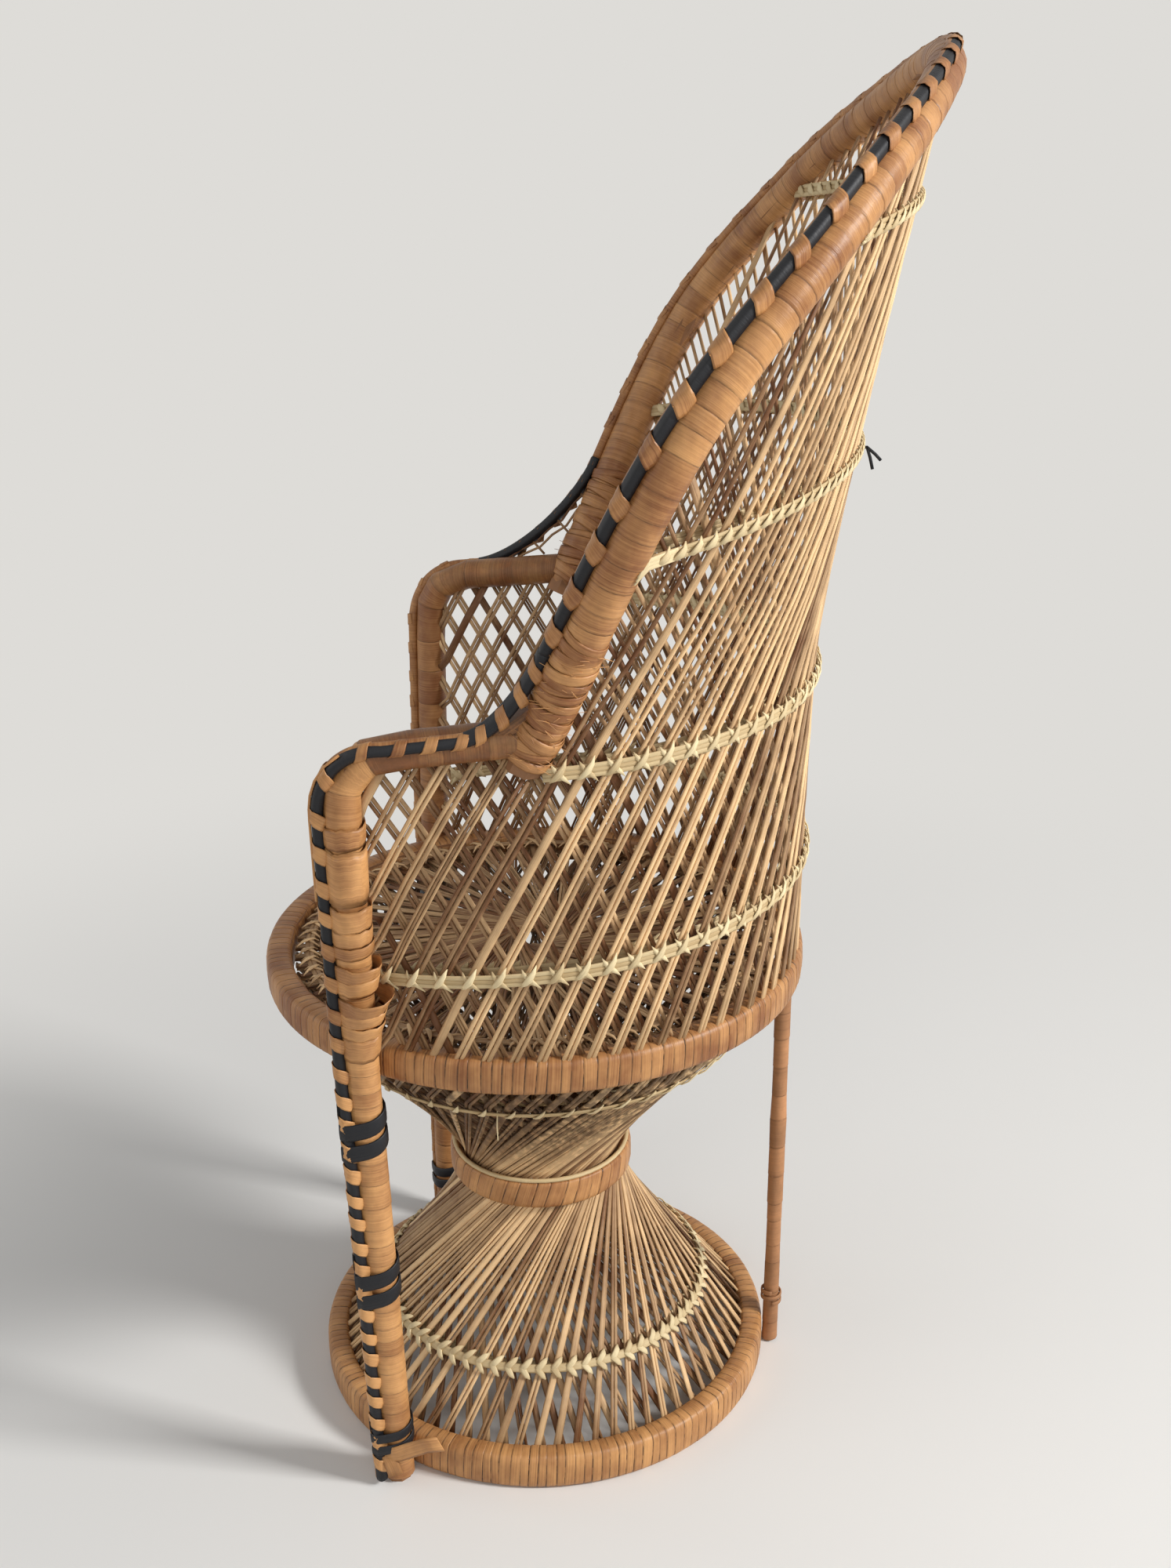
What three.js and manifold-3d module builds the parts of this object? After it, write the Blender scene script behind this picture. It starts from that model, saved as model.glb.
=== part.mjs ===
// Peacock chair: bent poles and hoops, wrapped in peel, that carry crossing layers of cane strands.
// Millimetres. +Z is up, the sitter faces -Y and the sitter's left is +X.

import * as THREE from 'three';
import { mergeVertices } from 'three/addons/utils/BufferGeometryUtils.js';
import Module from 'manifold-3d';

const DEG = Math.PI / 180;

// Fits and skins
const FIT = 0.3; // gap kept between pieces that touch
const PEEL = 1.2; // thickness of the peel wrapped round hoops and poles

// Base hoop: a flat strip bent to a ring, standing on the floor
const BASE_RADIUS = 133; // outside of the wrap
const BASE_HEIGHT = 22;
const BASE_STRIP = 6; // thickness of the strip

// Waist hoop, which draws the strands in
const WAIST_RADIUS = 53.4;
const WAIST_HEIGHT = 16;
const WAIST_BOTTOM = 128;
const WAIST_STRIP = 4.5;
const RIM_CANE = 3; // cane lying on the hoop

// Seat hoop
const SEAT_RADIUS = 150;
const SEAT_HEIGHT = 19.5;
const SEAT_TOP = 279;
const SEAT_STRIP = 4.5;

// Cane strands in two crossing layers
const STRAND_WIDTH = 5;
const STRAND_THICKNESS = 1.6;
const LAYER_STEP = 3.7; // between the middles of the two layers
const HOURGLASS_STRANDS = 48; // in each layer
const FOOT_DEPTH = 6; // of the strand feet below the top of the base hoop
const LOWER_TWIST = 49 * DEG; // base to waist
const BOWL_RADIUS = 120; // where the strands turn up below the seat
const BOWL_HEIGHT = 236;
const BOWL_TWIST = 49 * DEG; // waist to bowl
const UPPER_TWIST = 12 * DEG; // bowl to seat

// Seat panel
const SEAT_STRANDS = 32; // in each layer
const SEAT_SKEW = 35 * DEG; // how far a strand turns from the eye to the rim
const EYE_RADIUS = 13; // open eye in the middle
const EYE_RING = 3; // width of the ring of strand ends round the eye

// Twined bands, each a cane outside the strands and a cane inside them
const TWINE_WIDTH = 9;
const TWINE_THICKNESS = 2;
const BASE_TWINE_HEIGHT = 51;
const BOWL_TWINE_DROP = 30.5; // below the seat hoop
const SEAT_TWINE_INSET = 2; // from the rim of the seat panel
const BACK_TWINES = [
  { side: 324, rise: 12 }, // height at the side of the chair, and how far it climbs to the back
  { side: 429, rise: 8 },
  { side: 525, rise: 30 },
  { side: 627, rise: 44 },
];

// Back hoop: its middle line on the left, from the elbow to the crown
const ELBOW = { x: 151, y: 16, z: 448 };
const FLARE = { x: 191, y: 84, z: 590 };
const SHOULDER = { x: 160, y: 144, z: 665 };
const BROW = { x: 75, y: 187, z: 712 };
const CROWN = { x: 0, y: 201, z: 728 };
const HOOP_RADIUS_CROWN = 9;
const HOOP_RADIUS_ELBOW = 11.7;
const HOOP_TAIL = 18; // length of the hoop below the arm

// Back lattice
const BACK_PITCH = 7.2 * DEG; // between strands of one layer
const BACK_LEAN = 0.5; // sideways run of a strand for each millimetre of height
const BACK_AT_ELBOW = 149; // middle of the back behind the base's axis
const BACK_AT_CROWN = 199;
const BACK_CURVE = 1.15; // how late the back leans away
const ARM_FLARE = 1.6; // how late the sides turn out to the arms
const RISER_WIDTH = 4; // strip that holds the strand ends beside a leg
const DEEPEST_EDGE = 0.995; // of the hoop in the back, as a share of the back's depth
const SHORTEST_STRAND = 30; // shorter ones are left out
const TUCK_SINK = 1.5; // depth of a strand's foot in the strip inside the seat hoop

// Front legs, each bent to an arm
const LEG_RADIUS = 9; // outside of the wrap
const FOOT_BEARING = -31.2 * DEG; // round the base's axis, from +X
const SEAT_BEARING = -28.2 * DEG;
const ARM_CORNER = { x: 158, y: -73, z: 440 };
const ARM_BEND = 26; // reach of the bend along leg and arm

// Rear leg, a bare stick
const REAR_RADIUS = 5;
const REAR_NAIL_OFFSET = 1.7; // of the nail from the middle of the stick

// Edge braid on legs, arms and hoop
const BRAID_WIDTH = 8;
const BRAID_CREST = 4.8; // width of its top
const BRAID_HEIGHT = 5;
const BRAID_FOOT = 6; // its lower end above the floor
const BRAID_ROLL = 55 * DEG; // from the front of the leg to its outer side
const BRAID_START = 34; // its lower end on the hoop, along the hoop from the elbow

// Corner webs between arm and hoop
const WEB_RADIUS = 2;
const WEB_THREAD = 0.9; // radius of the thin canes
const WEB_THREAD_PLACES = [0.4, 0.6]; // shares of the cane from which one hangs
const WEB_ARM_RIGHT = 62; // from the elbow along the arm
const WEB_HOOP_RIGHT = 66; // from the elbow along the hoop
const WEB_ARM_LEFT = 40;
const WEB_HOOP_LEFT = 46;

// Black strips wound round the legs, and the tie on the rear leg
const STRIP_WIDTH = 7;
const STRIP_THICKNESS = 1;
const STRIP_PITCH = 8;
const BINDINGS = [
  { name: 'upper', middle: 238, turns: 3 },
  { name: 'middle', middle: 143, turns: 3 },
  { name: 'lower', middle: 35, turns: 2 },
];
const TIE_MIDDLE = 33;
const TIE_TURNS = 2;
const TIE_WIDTH = 3;
const TIE_PITCH = 4;

// Nails
const NAIL_RADIUS = 1.2;
const NAIL_TIP = 3;
const NAIL_BITE = 22; // length in the arm or the rear leg
const NAIL_SINK = 1.5; // of its head below the skin of the pole

// Fineness
const RING_SIDES = 32;
const WAIST_SIDES = 24;
const POLE_SIDES = 8;
const HOOP_STEPS = 20;
const BEND_STEPS = 4;
const NAIL_SIDES = 6;
const ELBOW_STEPS = 3; // along a back strand from the seat to the elbow
const BROW_STEPS = 3; // and from there to the brow
const TWINE_STEPS = 12; // along half of a back band
const STRIP_STEPS = 8; // round the leg, besides the two corners of the braid
const CANE_SIDES = 5;
const WEB_STEPS = 5;
const HOOP_SAMPLES = 200; // along half of the hoop
const SEARCH_STEP = 1; // in height, where a strand is followed to its end
const SEARCH_ANGLE = 0.5 * DEG; // the same along a band
const HOLE_TIP = 0.01;

const MATERIALS = {
  peel: { color: '#c98d4c', roughness: 0.55, metalness: 0 },
  pole: { color: '#b9854c', roughness: 0.7, metalness: 0 },
  strand: { color: '#b4864f', roughness: 0.6, metalness: 0 },
  twine: { color: '#cfbd80', roughness: 0.6, metalness: 0 },
  black: { color: '#23252e', roughness: 0.5, metalness: 0 },
  braid: { color: '#8d6a45', roughness: 0.55, metalness: 0 },
  stick: { color: '#a06a38', roughness: 0.7, metalness: 0 },
  steel: { color: '#8b8c8e', roughness: 0.4, metalness: 1 },
};

const wasm = await Module();
wasm.setup();

const chair = new THREE.Group();

// Vectors

const vec = (x, y, z) => new THREE.Vector3(x, y, z);
const place = (point, side) => vec(side * point.x, point.y, point.z);
const polar = (radius, angle, z) => vec(radius * Math.cos(angle), radius * Math.sin(angle), z);
const along = (start, direction, length) => start.clone().addScaledVector(direction, length);
const towards = (from, to) => to.clone().sub(from).normalize();
const between = (from, to, share) => from.clone().lerp(to, share);
const squareTo = (direction, axis) =>
  direction.clone().addScaledVector(axis, -direction.dot(axis)).normalize();
const apothem = (radius, sides) => radius * Math.cos(Math.PI / sides);

// Solids

function volumeOf(points, index) {
  let volume = 0;
  for (let i = 0; i < index.length; i += 3) {
    const [a, b, c] = [points[index[i]], points[index[i + 1]], points[index[i + 2]]];
    volume += a.dot(b.clone().cross(c)) / 6;
  }
  return volume;
}

function solidOf(points, index) {
  const faces = volumeOf(points, index) < 0 ? index.slice().reverse() : index;
  const geometry = new THREE.BufferGeometry().setFromPoints(points);
  geometry.setIndex(faces);
  return mergeVertices(geometry);
}

// Side faces between two loops of points; `sides` names the edges of the loop that get a face.
function bandFaces(first, second, count, sides) {
  return sides.flatMap((j) => {
    const next = (j + 1) % count;
    const [a, b, c, d] = [first + j, first + next, second + next, second + j];
    return [a, b, c, a, c, d];
  });
}

// A skin through equal loops, capped at its ends or, when closed, joined to its start.
function loft(loops, closed = false) {
  const count = loops[0].length;
  const all = [...Array(count).keys()];
  const index = [];
  const rows = closed ? loops.length : loops.length - 1;
  for (let i = 0; i < rows; i += 1) {
    index.push(...bandFaces(i * count, ((i + 1) % loops.length) * count, count, all));
  }
  if (!closed) {
    const last = (loops.length - 1) * count;
    for (let j = 1; j < count - 1; j += 1) {
      index.push(0, j + 1, j, last, last + j, last + j + 1);
    }
  }
  return solidOf(loops.flat(), index);
}

// Strands that lie side by side in one row of their loops, where they are one ring.
function fusedStrands(strands, fusedRow) {
  const points = [];
  const index = [];
  for (const loops of strands) {
    const start = points.length;
    const last = start + (loops.length - 1) * 4;
    for (let i = 0; i < loops.length - 1; i += 1) {
      const sides = i === fusedRow ? [0, 2] : [0, 1, 2, 3];
      index.push(...bandFaces(start + i * 4, start + (i + 1) * 4, 4, sides));
    }
    index.push(start, start + 2, start + 1, start, start + 3, start + 2);
    index.push(last, last + 1, last + 2, last, last + 2, last + 3);
    points.push(...loops.flat());
  }
  return solidOf(points, index);
}

// A ring turned about the Z axis from a closed profile of [radius, height] points.
function ring(profile, sides) {
  const outline = [...profile, profile[0]].map(([radius, height]) => new THREE.Vector2(radius, height));
  const geometry = new THREE.LatheGeometry(outline, sides).rotateX(Math.PI / 2);
  geometry.deleteAttribute('normal');
  geometry.deleteAttribute('uv');
  const merged = mergeVertices(geometry);
  const position = merged.attributes.position;
  const points = [...Array(position.count).keys()].map((i) => vec().fromBufferAttribute(position, i));
  return solidOf(points, [...merged.index.array]);
}

function toManifold(geometry) {
  const vertProperties = new Float32Array(geometry.attributes.position.array);
  const triVerts = new Uint32Array(geometry.index.array);
  return new wasm.Manifold(new wasm.Mesh({ numProp: 3, vertProperties, triVerts }));
}

function fromManifold(manifold) {
  const { vertProperties, triVerts } = manifold.getMesh();
  const geometry = new THREE.BufferGeometry();
  geometry.setAttribute('position', new THREE.BufferAttribute(vertProperties, 3));
  geometry.setIndex([...triVerts]);
  return geometry;
}

const joined = (geometries) =>
  fromManifold(geometries.map(toManifold).reduce((whole, piece) => whole.add(piece)));

function cutBy(geometry, cutters) {
  const whole = toManifold(geometry);
  return fromManifold(cutters.map(toManifold).reduce((rest, cutter) => rest.subtract(cutter), whole));
}

function addPiece(name, geometry, material) {
  const flat = geometry.toNonIndexed();
  flat.computeVertexNormals();
  const piece = new THREE.Mesh(flat, new THREE.MeshStandardMaterial(MATERIALS[material]));
  piece.name = name;
  chair.add(piece);
}

// Radii of the hoops, from the outside in

const base = { stripOuter: BASE_RADIUS - PEEL - FIT };
base.stripInner = base.stripOuter - BASE_STRIP;
base.outerLayer = apothem(base.stripInner, RING_SIDES) - FIT - STRAND_THICKNESS / 2;
base.innerLayer = base.outerLayer - LAYER_STEP;
base.lip = base.innerLayer - STRAND_THICKNESS / 2;

const waist = { bottom: WAIST_BOTTOM, top: WAIST_BOTTOM + WAIST_HEIGHT };
waist.stripOuter = WAIST_RADIUS - PEEL - FIT;
waist.stripInner = waist.stripOuter - WAIST_STRIP;
waist.outerLayer = apothem(waist.stripInner, WAIST_SIDES) - FIT - STRAND_THICKNESS / 2;
waist.innerLayer = waist.outerLayer - LAYER_STEP;

const TUCK_THICKNESS = STRAND_THICKNESS + FIT; // strip that holds the strand ends in the seat hoop
const seat = { top: SEAT_TOP, bottom: SEAT_TOP - SEAT_HEIGHT, middle: SEAT_TOP - SEAT_HEIGHT / 2 };
seat.outerTuck = apothem(SEAT_RADIUS - PEEL, RING_SIDES) - FIT - TUCK_THICKNESS / 2;
seat.innerTuck = seat.outerTuck - LAYER_STEP;
seat.stripOuter = apothem(seat.innerTuck - TUCK_THICKNESS / 2, RING_SIDES) - FIT;
seat.stripInner = seat.stripOuter - SEAT_STRIP;
seat.bore = seat.stripInner - FIT - PEEL;
seat.outerLayer = apothem(seat.bore, RING_SIDES) - FIT - STRAND_THICKNESS / 2;
seat.innerLayer = seat.outerLayer - LAYER_STEP;
seat.lattice = (seat.outerTuck + seat.innerTuck) / 2;
seat.strandFoot = SEAT_TOP - FIT - TUCK_SINK;

// Heights of the seat panel, from the top down
seat.twineTop = SEAT_TOP - PEEL;
seat.upper = seat.twineTop - TWINE_THICKNESS - FIT - STRAND_THICKNESS / 2;
seat.lower = seat.upper - STRAND_THICKNESS - FIT;
seat.twineUnder = seat.lower - STRAND_THICKNESS / 2 - FIT;
seat.strandTop = seat.twineUnder - TWINE_THICKNESS - FIT;

// Middle line of the back hoop, with its radius

const hoopHalf = [ELBOW, FLARE, SHOULDER, BROW];
const hoopCurve = new THREE.CatmullRomCurve3(
  [...hoopHalf.map((p) => place(p, 1)), place(CROWN, 1), ...hoopHalf.map((p) => place(p, -1)).reverse()],
  false,
  'centripetal',
);
const hoopLength = hoopCurve.getLength();
const hoopFace = vec(0, ELBOW.z - CROWN.z, CROWN.y - ELBOW.y).normalize(); // the way the hoop looks

function hoopStation(share) {
  const swell = Math.abs(2 * share - 1) ** 2;
  return {
    centre: hoopCurve.getPointAt(share),
    tangent: hoopCurve.getTangentAt(share),
    radius: HOOP_RADIUS_CROWN + (HOOP_RADIUS_ELBOW - HOOP_RADIUS_CROWN) * swell,
  };
}

function hoopStations() {
  const run = [...Array(HOOP_STEPS + 1).keys()].map((i) => hoopStation(i / HOOP_STEPS));
  const first = run[0];
  const last = run[HOOP_STEPS];
  return [
    { ...first, centre: along(first.centre, first.tangent, -HOOP_TAIL) },
    ...run,
    { ...last, centre: along(last.centre, last.tangent, HOOP_TAIL) },
  ];
}

// Middle line of a front leg and its arm

const up = vec(0, 0, 1);
const across = vec(1, 0, 0);

function legPoints(side) {
  const foot = polar(BASE_RADIUS + FIT + LEG_RADIUS, FOOT_BEARING, 0);
  const atSeat = polar(SEAT_RADIUS + FIT + LEG_RADIUS, SEAT_BEARING, seat.bottom);
  return [foot, atSeat].map((p) => place(p, side));
}

function legStations(side) {
  const [foot, atSeat] = legPoints(side);
  const corner = place(ARM_CORNER, side);
  const elbow = place(ELBOW, side);
  const rise = towards(atSeat, corner);
  const reach = towards(corner, elbow);
  const bend = new THREE.QuadraticBezierCurve3(
    along(corner, rise, -ARM_BEND),
    corner,
    along(corner, reach, ARM_BEND),
  );
  const bendStations = [...Array(BEND_STEPS + 1).keys()].map((i) => ({
    centre: bend.getPoint(i / BEND_STEPS),
    tangent: bend.getTangent(i / BEND_STEPS),
  }));
  const run = [
    { centre: foot, tangent: up },
    { centre: atSeat, tangent: towards(foot, corner) },
    ...bendStations,
    { centre: elbow, tangent: reach },
  ];
  return run.map((station) => ({ ...station, radius: LEG_RADIUS }));
}

// Round loops about a middle line; the first cross direction follows `guide`.
function poleLoops(stations, guide, inset) {
  return stations.map(({ centre, tangent, radius }) => {
    const first = squareTo(guide, tangent);
    const second = tangent.clone().cross(first);
    return [...Array(POLE_SIDES).keys()].map((i) => {
      const angle = ((i + 0.5) / POLE_SIDES) * 2 * Math.PI;
      const point = along(centre, first, (radius - inset) * Math.cos(angle));
      return point.addScaledVector(second, (radius - inset) * Math.sin(angle));
    });
  });
}

const poleCore = (stations, guide) => loft(poleLoops(stations, guide, PEEL + FIT));

const poleWrap = (stations, guide) =>
  loft([...poleLoops(stations, guide, 0), ...poleLoops(stations, guide, PEEL).reverse()], true);

// Least distance from a point to the wrapped frame

const framePaths = [hoopStations(), legStations(1), legStations(-1)];

function frameClearance(point) {
  const line = new THREE.Line3();
  const nearest = vec();
  let least = Infinity;
  for (const stations of framePaths) {
    for (let i = 1; i < stations.length; i += 1) {
      line.set(stations[i - 1].centre, stations[i].centre);
      line.closestPointToPoint(point, true, nearest);
      const radius = Math.max(stations[i - 1].radius, stations[i].radius);
      least = Math.min(least, nearest.distanceTo(point) - radius);
    }
  }
  return least;
}

// Back lattice: the middle surface, by angle from the back and height

const LEG_ANGLE = Math.PI / 2 - SEAT_BEARING;
const EDGE_ANGLE = LEG_ANGLE - Math.asin((LEG_RADIUS + RISER_WIDTH) / SEAT_RADIUS);
const elbowAngle = Math.acos(ELBOW.y / BACK_AT_ELBOW);
const hoopRun = [...Array(HOOP_SAMPLES + 1).keys()].map((i) => hoopCurve.getPointAt(i / HOOP_SAMPLES / 2));

function hoopAtHeight(z) {
  const i = hoopRun.findIndex((point) => point.z >= z);
  if (i < 1) return i < 0 ? hoopRun[hoopRun.length - 1] : hoopRun[0];
  const [low, high] = [hoopRun[i - 1], hoopRun[i]];
  return between(low, high, (z - low.z) / (high.z - low.z));
}

const backDepth = (z) => {
  const share = Math.max(0, (z - ELBOW.z) / (CROWN.z - ELBOW.z));
  return BACK_AT_ELBOW + (BACK_AT_CROWN - BACK_AT_ELBOW) * share ** BACK_CURVE;
};

// Half width of the ellipse that passes through the hoop at this height
function backHalfWidth(z) {
  const edge = hoopAtHeight(Math.max(z, ELBOW.z));
  const share = Math.min(edge.y / backDepth(z), DEEPEST_EDGE);
  return edge.x / Math.sqrt(1 - share ** 2);
}

// Plan of the back and arms at arm height
function armPlan(angle) {
  const side = Math.sign(angle) || 1;
  const turn = Math.abs(angle);
  if (turn <= elbowAngle) {
    return vec(side * backHalfWidth(ELBOW.z) * Math.sin(turn), BACK_AT_ELBOW * Math.cos(turn), 0);
  }
  const share = (turn - elbowAngle) / (LEG_ANGLE - elbowAngle);
  return between(place(ELBOW, side), place(ARM_CORNER, side), share).setZ(0);
}

function backSurface(angle, z) {
  if (z > ELBOW.z) {
    return vec(backHalfWidth(z) * Math.sin(angle), backDepth(z) * Math.cos(angle), z);
  }
  const share = Math.max(0, (z - SEAT_TOP) / (ELBOW.z - SEAT_TOP)) ** ARM_FLARE;
  const circle = vec(seat.lattice * Math.sin(angle), seat.lattice * Math.cos(angle), 0);
  return between(circle, armPlan(angle), share).setZ(z);
}

// Outward and sideways directions of the surface
function backDirections(angle, z) {
  const sideways = towards(backSurface(angle - SEARCH_ANGLE, z), backSurface(angle + SEARCH_ANGLE, z));
  return { sideways, outward: vec(-sideways.y, sideways.x, 0) };
}

// Heights where the strands bend, and how far round they have turned there
const levels = (from, to, count) => [...Array(count).keys()].map((i) => from + ((to - from) * i) / count);
const bendHeights = [
  ...levels(seat.strandFoot, ELBOW.z, ELBOW_STEPS),
  ...levels(ELBOW.z, BROW.z, BROW_STEPS),
  BROW.z,
];
const backStations = [{ z: seat.strandFoot, turn: 0 }];
for (const z of bendHeights.slice(1)) {
  const below = backStations[backStations.length - 1];
  const radius = backHalfWidth((below.z + z) / 2);
  backStations.push({ z, turn: below.turn + (BACK_LEAN * (z - below.z)) / radius });
}

// The bends below and above a height, and the share of the way between them
function bendsAround(z) {
  const found = backStations.findIndex((station) => station.z > z);
  const i = found < 0 ? backStations.length - 1 : found;
  const [low, high] = [backStations[i - 1], backStations[i]];
  return { low, high, share: (z - low.z) / (high.z - low.z) };
}

function backTurn(z) {
  const { low, high, share } = bendsAround(z);
  return low.turn + (high.turn - low.turn) * share;
}

// The four corners of a strip that stands in a layer, cut level
function layerLoop(layer, angle, z, width, thickness) {
  const { sideways, outward } = backDirections(angle, z);
  const centre = along(backSurface(angle, z), outward, (layer * LAYER_STEP) / 2);
  return [[-1, -1], [1, -1], [1, 1], [-1, 1]].map(([i, j]) => {
    const corner = along(centre, sideways, (i * width) / 2);
    return corner.addScaledVector(outward, (j * thickness) / 2);
  });
}

// A strip's corners at a height: straight between the heights where the strands bend
function strandLoop(layer, startAngle, z, width = STRAND_WIDTH, thickness = STRAND_THICKNESS) {
  const { low, high, share } = bendsAround(z);
  const [below, above] = [low, high].map((station) =>
    layerLoop(layer, startAngle - layer * station.turn, station.z, width, thickness),
  );
  return below.map((corner, j) => between(corner, above[j], share));
}

// A strand starts in the seat hoop or, past the edge, beside the leg
const startsAtLeg = (layer, startAngle) => layer * startAngle > EDGE_ANGLE;

function strandStart(layer, startAngle) {
  const isPastEdge = (z) => layer * startAngle - backTurn(z) > EDGE_ANGLE;
  let start = seat.strandFoot;
  while (startsAtLeg(layer, startAngle) && isPastEdge(start)) start += SEARCH_STEP;
  return start;
}

// Height at which a strand meets the frame or the far leg
function strandEnd(layer, startAngle, start) {
  let z = start;
  while (z + SEARCH_STEP < CROWN.z) {
    const loop = strandLoop(layer, startAngle, z + SEARCH_STEP);
    const atFarLeg = -layer * startAngle + backTurn(z + SEARCH_STEP) > EDGE_ANGLE;
    if (atFarLeg || loop.some((corner) => frameClearance(corner) < FIT)) return z;
    z += SEARCH_STEP;
  }
  return z;
}

function backStrand(layer, startAngle) {
  const start = strandStart(layer, startAngle);
  const end = strandEnd(layer, startAngle, Math.max(start, SEAT_TOP));
  if (end - start < SHORTEST_STRAND) return null;
  const isInside = (z) => z > start + SEARCH_STEP && z < end - SEARCH_STEP;
  const bends = backStations.map(({ z }) => z).filter(isInside);
  return loft([start, ...bends, end].map((z) => strandLoop(layer, startAngle, z)));
}

function tuckRing(layer) {
  const middle = layer > 0 ? seat.outerTuck : seat.innerTuck;
  const [inner, outer] = [middle - TUCK_THICKNESS / 2, middle + TUCK_THICKNESS / 2];
  const [low, high] = [seat.bottom + PEEL + FIT, SEAT_TOP - FIT];
  return ring([[inner, low], [outer, low], [outer, high], [inner, high]], RING_SIDES);
}

// Strip beside the leg, up through the feet of the strands that start there
function legRiser(layer, startAngles) {
  const feet = [layer * EDGE_ANGLE, ...startAngles].map((angle) =>
    strandLoop(layer, angle, strandStart(layer, angle), RISER_WIDTH, TUCK_THICKNESS),
  );
  const top = feet[feet.length - 1].map((corner) => along(corner, up, RISER_WIDTH));
  return loft([...feet, top]);
}

function backLayer(layer) {
  const count = Math.ceil((2 * LEG_ANGLE) / BACK_PITCH);
  const angles = [...Array(2 * count + 1).keys()].map((i) => layer * (i - count) * BACK_PITCH);
  const farthest = EDGE_ANGLE + backTurn(ARM_CORNER.z - LEG_RADIUS - SHORTEST_STRAND);
  const starts = angles.filter((angle) => -layer * angle < EDGE_ANGLE && layer * angle < farthest);
  const strands = starts.map((angle) => backStrand(layer, angle)).filter(Boolean);
  const legStarts = starts.filter((angle) => startsAtLeg(layer, angle));
  return joined([tuckRing(layer), legRiser(layer, legStarts), ...strands]);
}

// A twined cane that follows the strands of a layer, outside the outer one or inside the inner one
function backTwine(layer, { side, rise }) {
  const edgeAt = (angle, z, step) => {
    const strand = strandLoop(layer, angle + layer * backTurn(z), z);
    const middle = between(strand[0], strand[2], 0.5);
    const outward = towards(between(strand[0], strand[1], 0.5), between(strand[2], strand[3], 0.5));
    const sag = layer > 0 ? Math.hypot(middle.x, middle.y) * (1 - Math.cos(step / 2)) : 0;
    const near = layer * (STRAND_THICKNESS / 2 + FIT + sag);
    return [near, near + layer * TWINE_THICKNESS].map((out) => along(middle, outward, out));
  };
  const loopAt = (angle, step) => {
    const height = side + rise * Math.cos(angle);
    const low = edgeAt(angle, height - TWINE_WIDTH / 2, step);
    const high = edgeAt(angle, height + TWINE_WIDTH / 2, step);
    return [low[0], low[1], high[1], high[0]];
  };
  const widestStep = EDGE_ANGLE / TWINE_STEPS;
  const isClear = (angle) => loopAt(angle, widestStep).every((corner) => frameClearance(corner) > FIT);
  const limit = EDGE_ANGLE - (RISER_WIDTH / 2 + FIT + TWINE_THICKNESS) / seat.lattice;
  let end = 0;
  while (end + SEARCH_ANGLE < limit && isClear(end + SEARCH_ANGLE)) end += SEARCH_ANGLE;
  const shares = [...Array(2 * TWINE_STEPS + 1).keys()].map((i) => i / TWINE_STEPS - 1);
  return loft(shares.map((share) => loopAt(share * end, end / TWINE_STEPS)));
}

// Hourglass strands: feet in the base hoop, drawn in by the waist hoop, tops in the seat hoop

function hourglassStrand(layer, index) {
  const pitch = (2 * Math.PI) / HOURGLASS_STRANDS;
  const pick = (hoop) => (layer > 0 ? hoop.outerLayer : hoop.innerLayer);
  const inset = layer > 0 ? 0 : LAYER_STEP;
  const middle = index * pitch;
  const loopAt = (radius, turn, z, halfAngle) =>
    [[-1, -1], [1, -1], [1, 1], [-1, 1]].map(([i, j]) =>
      polar(radius + (j * STRAND_THICKNESS) / 2, layer * (middle + turn) + i * halfAngle, z),
    );
  const half = (radius) => STRAND_WIDTH / 2 / radius;
  return [
    loopAt(pick(base), -LOWER_TWIST, BASE_HEIGHT - FOOT_DEPTH, half(pick(base))),
    loopAt(pick(waist), 0, waist.bottom - FIT, pitch / 2),
    loopAt(pick(waist), 0, waist.top + FIT, pitch / 2),
    loopAt(BOWL_RADIUS - inset, BOWL_TWIST, BOWL_HEIGHT, half(BOWL_RADIUS)),
    loopAt(pick(seat), BOWL_TWIST + UPPER_TWIST, seat.strandTop, half(pick(seat))),
  ];
}

function hourglassLayer(layer) {
  const strands = [...Array(HOURGLASS_STRANDS).keys()].map((i) => hourglassStrand(layer, i));
  return fusedStrands(strands, 1);
}

// Least and greatest radius of a layer's strands at a height
function hourglassRadii(layer, z) {
  const loops = hourglassStrand(layer, 0);
  const i = loops.findIndex((loop) => loop[0].z > z);
  const [low, high] = [loops[i - 1], loops[i]];
  const share = (z - low[0].z) / (high[0].z - low[0].z);
  const faces = [[0, 1], [1, 0], [2, 3], [3, 2]];
  const corners = low.map((corner, j) => between(corner, high[j], share));
  const diagonals = faces.map(([i, j]) => between(low[i], high[j], share));
  const middles = faces.map(([i, j]) => between(corners[i], corners[j], 0.5));
  const radii = [...corners, ...diagonals, ...middles].map((point) => Math.hypot(point.x, point.y));
  return [Math.min(...radii), Math.max(...radii)];
}

function hourglassTwine(layer, height) {
  const [low, high] = [height - TWINE_WIDTH / 2, height + TWINE_WIDTH / 2].map((z) => {
    const [least, greatest] = hourglassRadii(layer, z);
    const near = layer > 0 ? (greatest + FIT) / Math.cos(Math.PI / RING_SIDES) : least - FIT;
    return [[near, z], [near + layer * TWINE_THICKNESS, z]];
  });
  return ring([...low, ...high.reverse()], RING_SIDES);
}

// Seat panel: strands from a small eye to the rim, one layer skewed each way

const rimRadius = apothem(seat.bore, RING_SIDES) - FIT;

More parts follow.
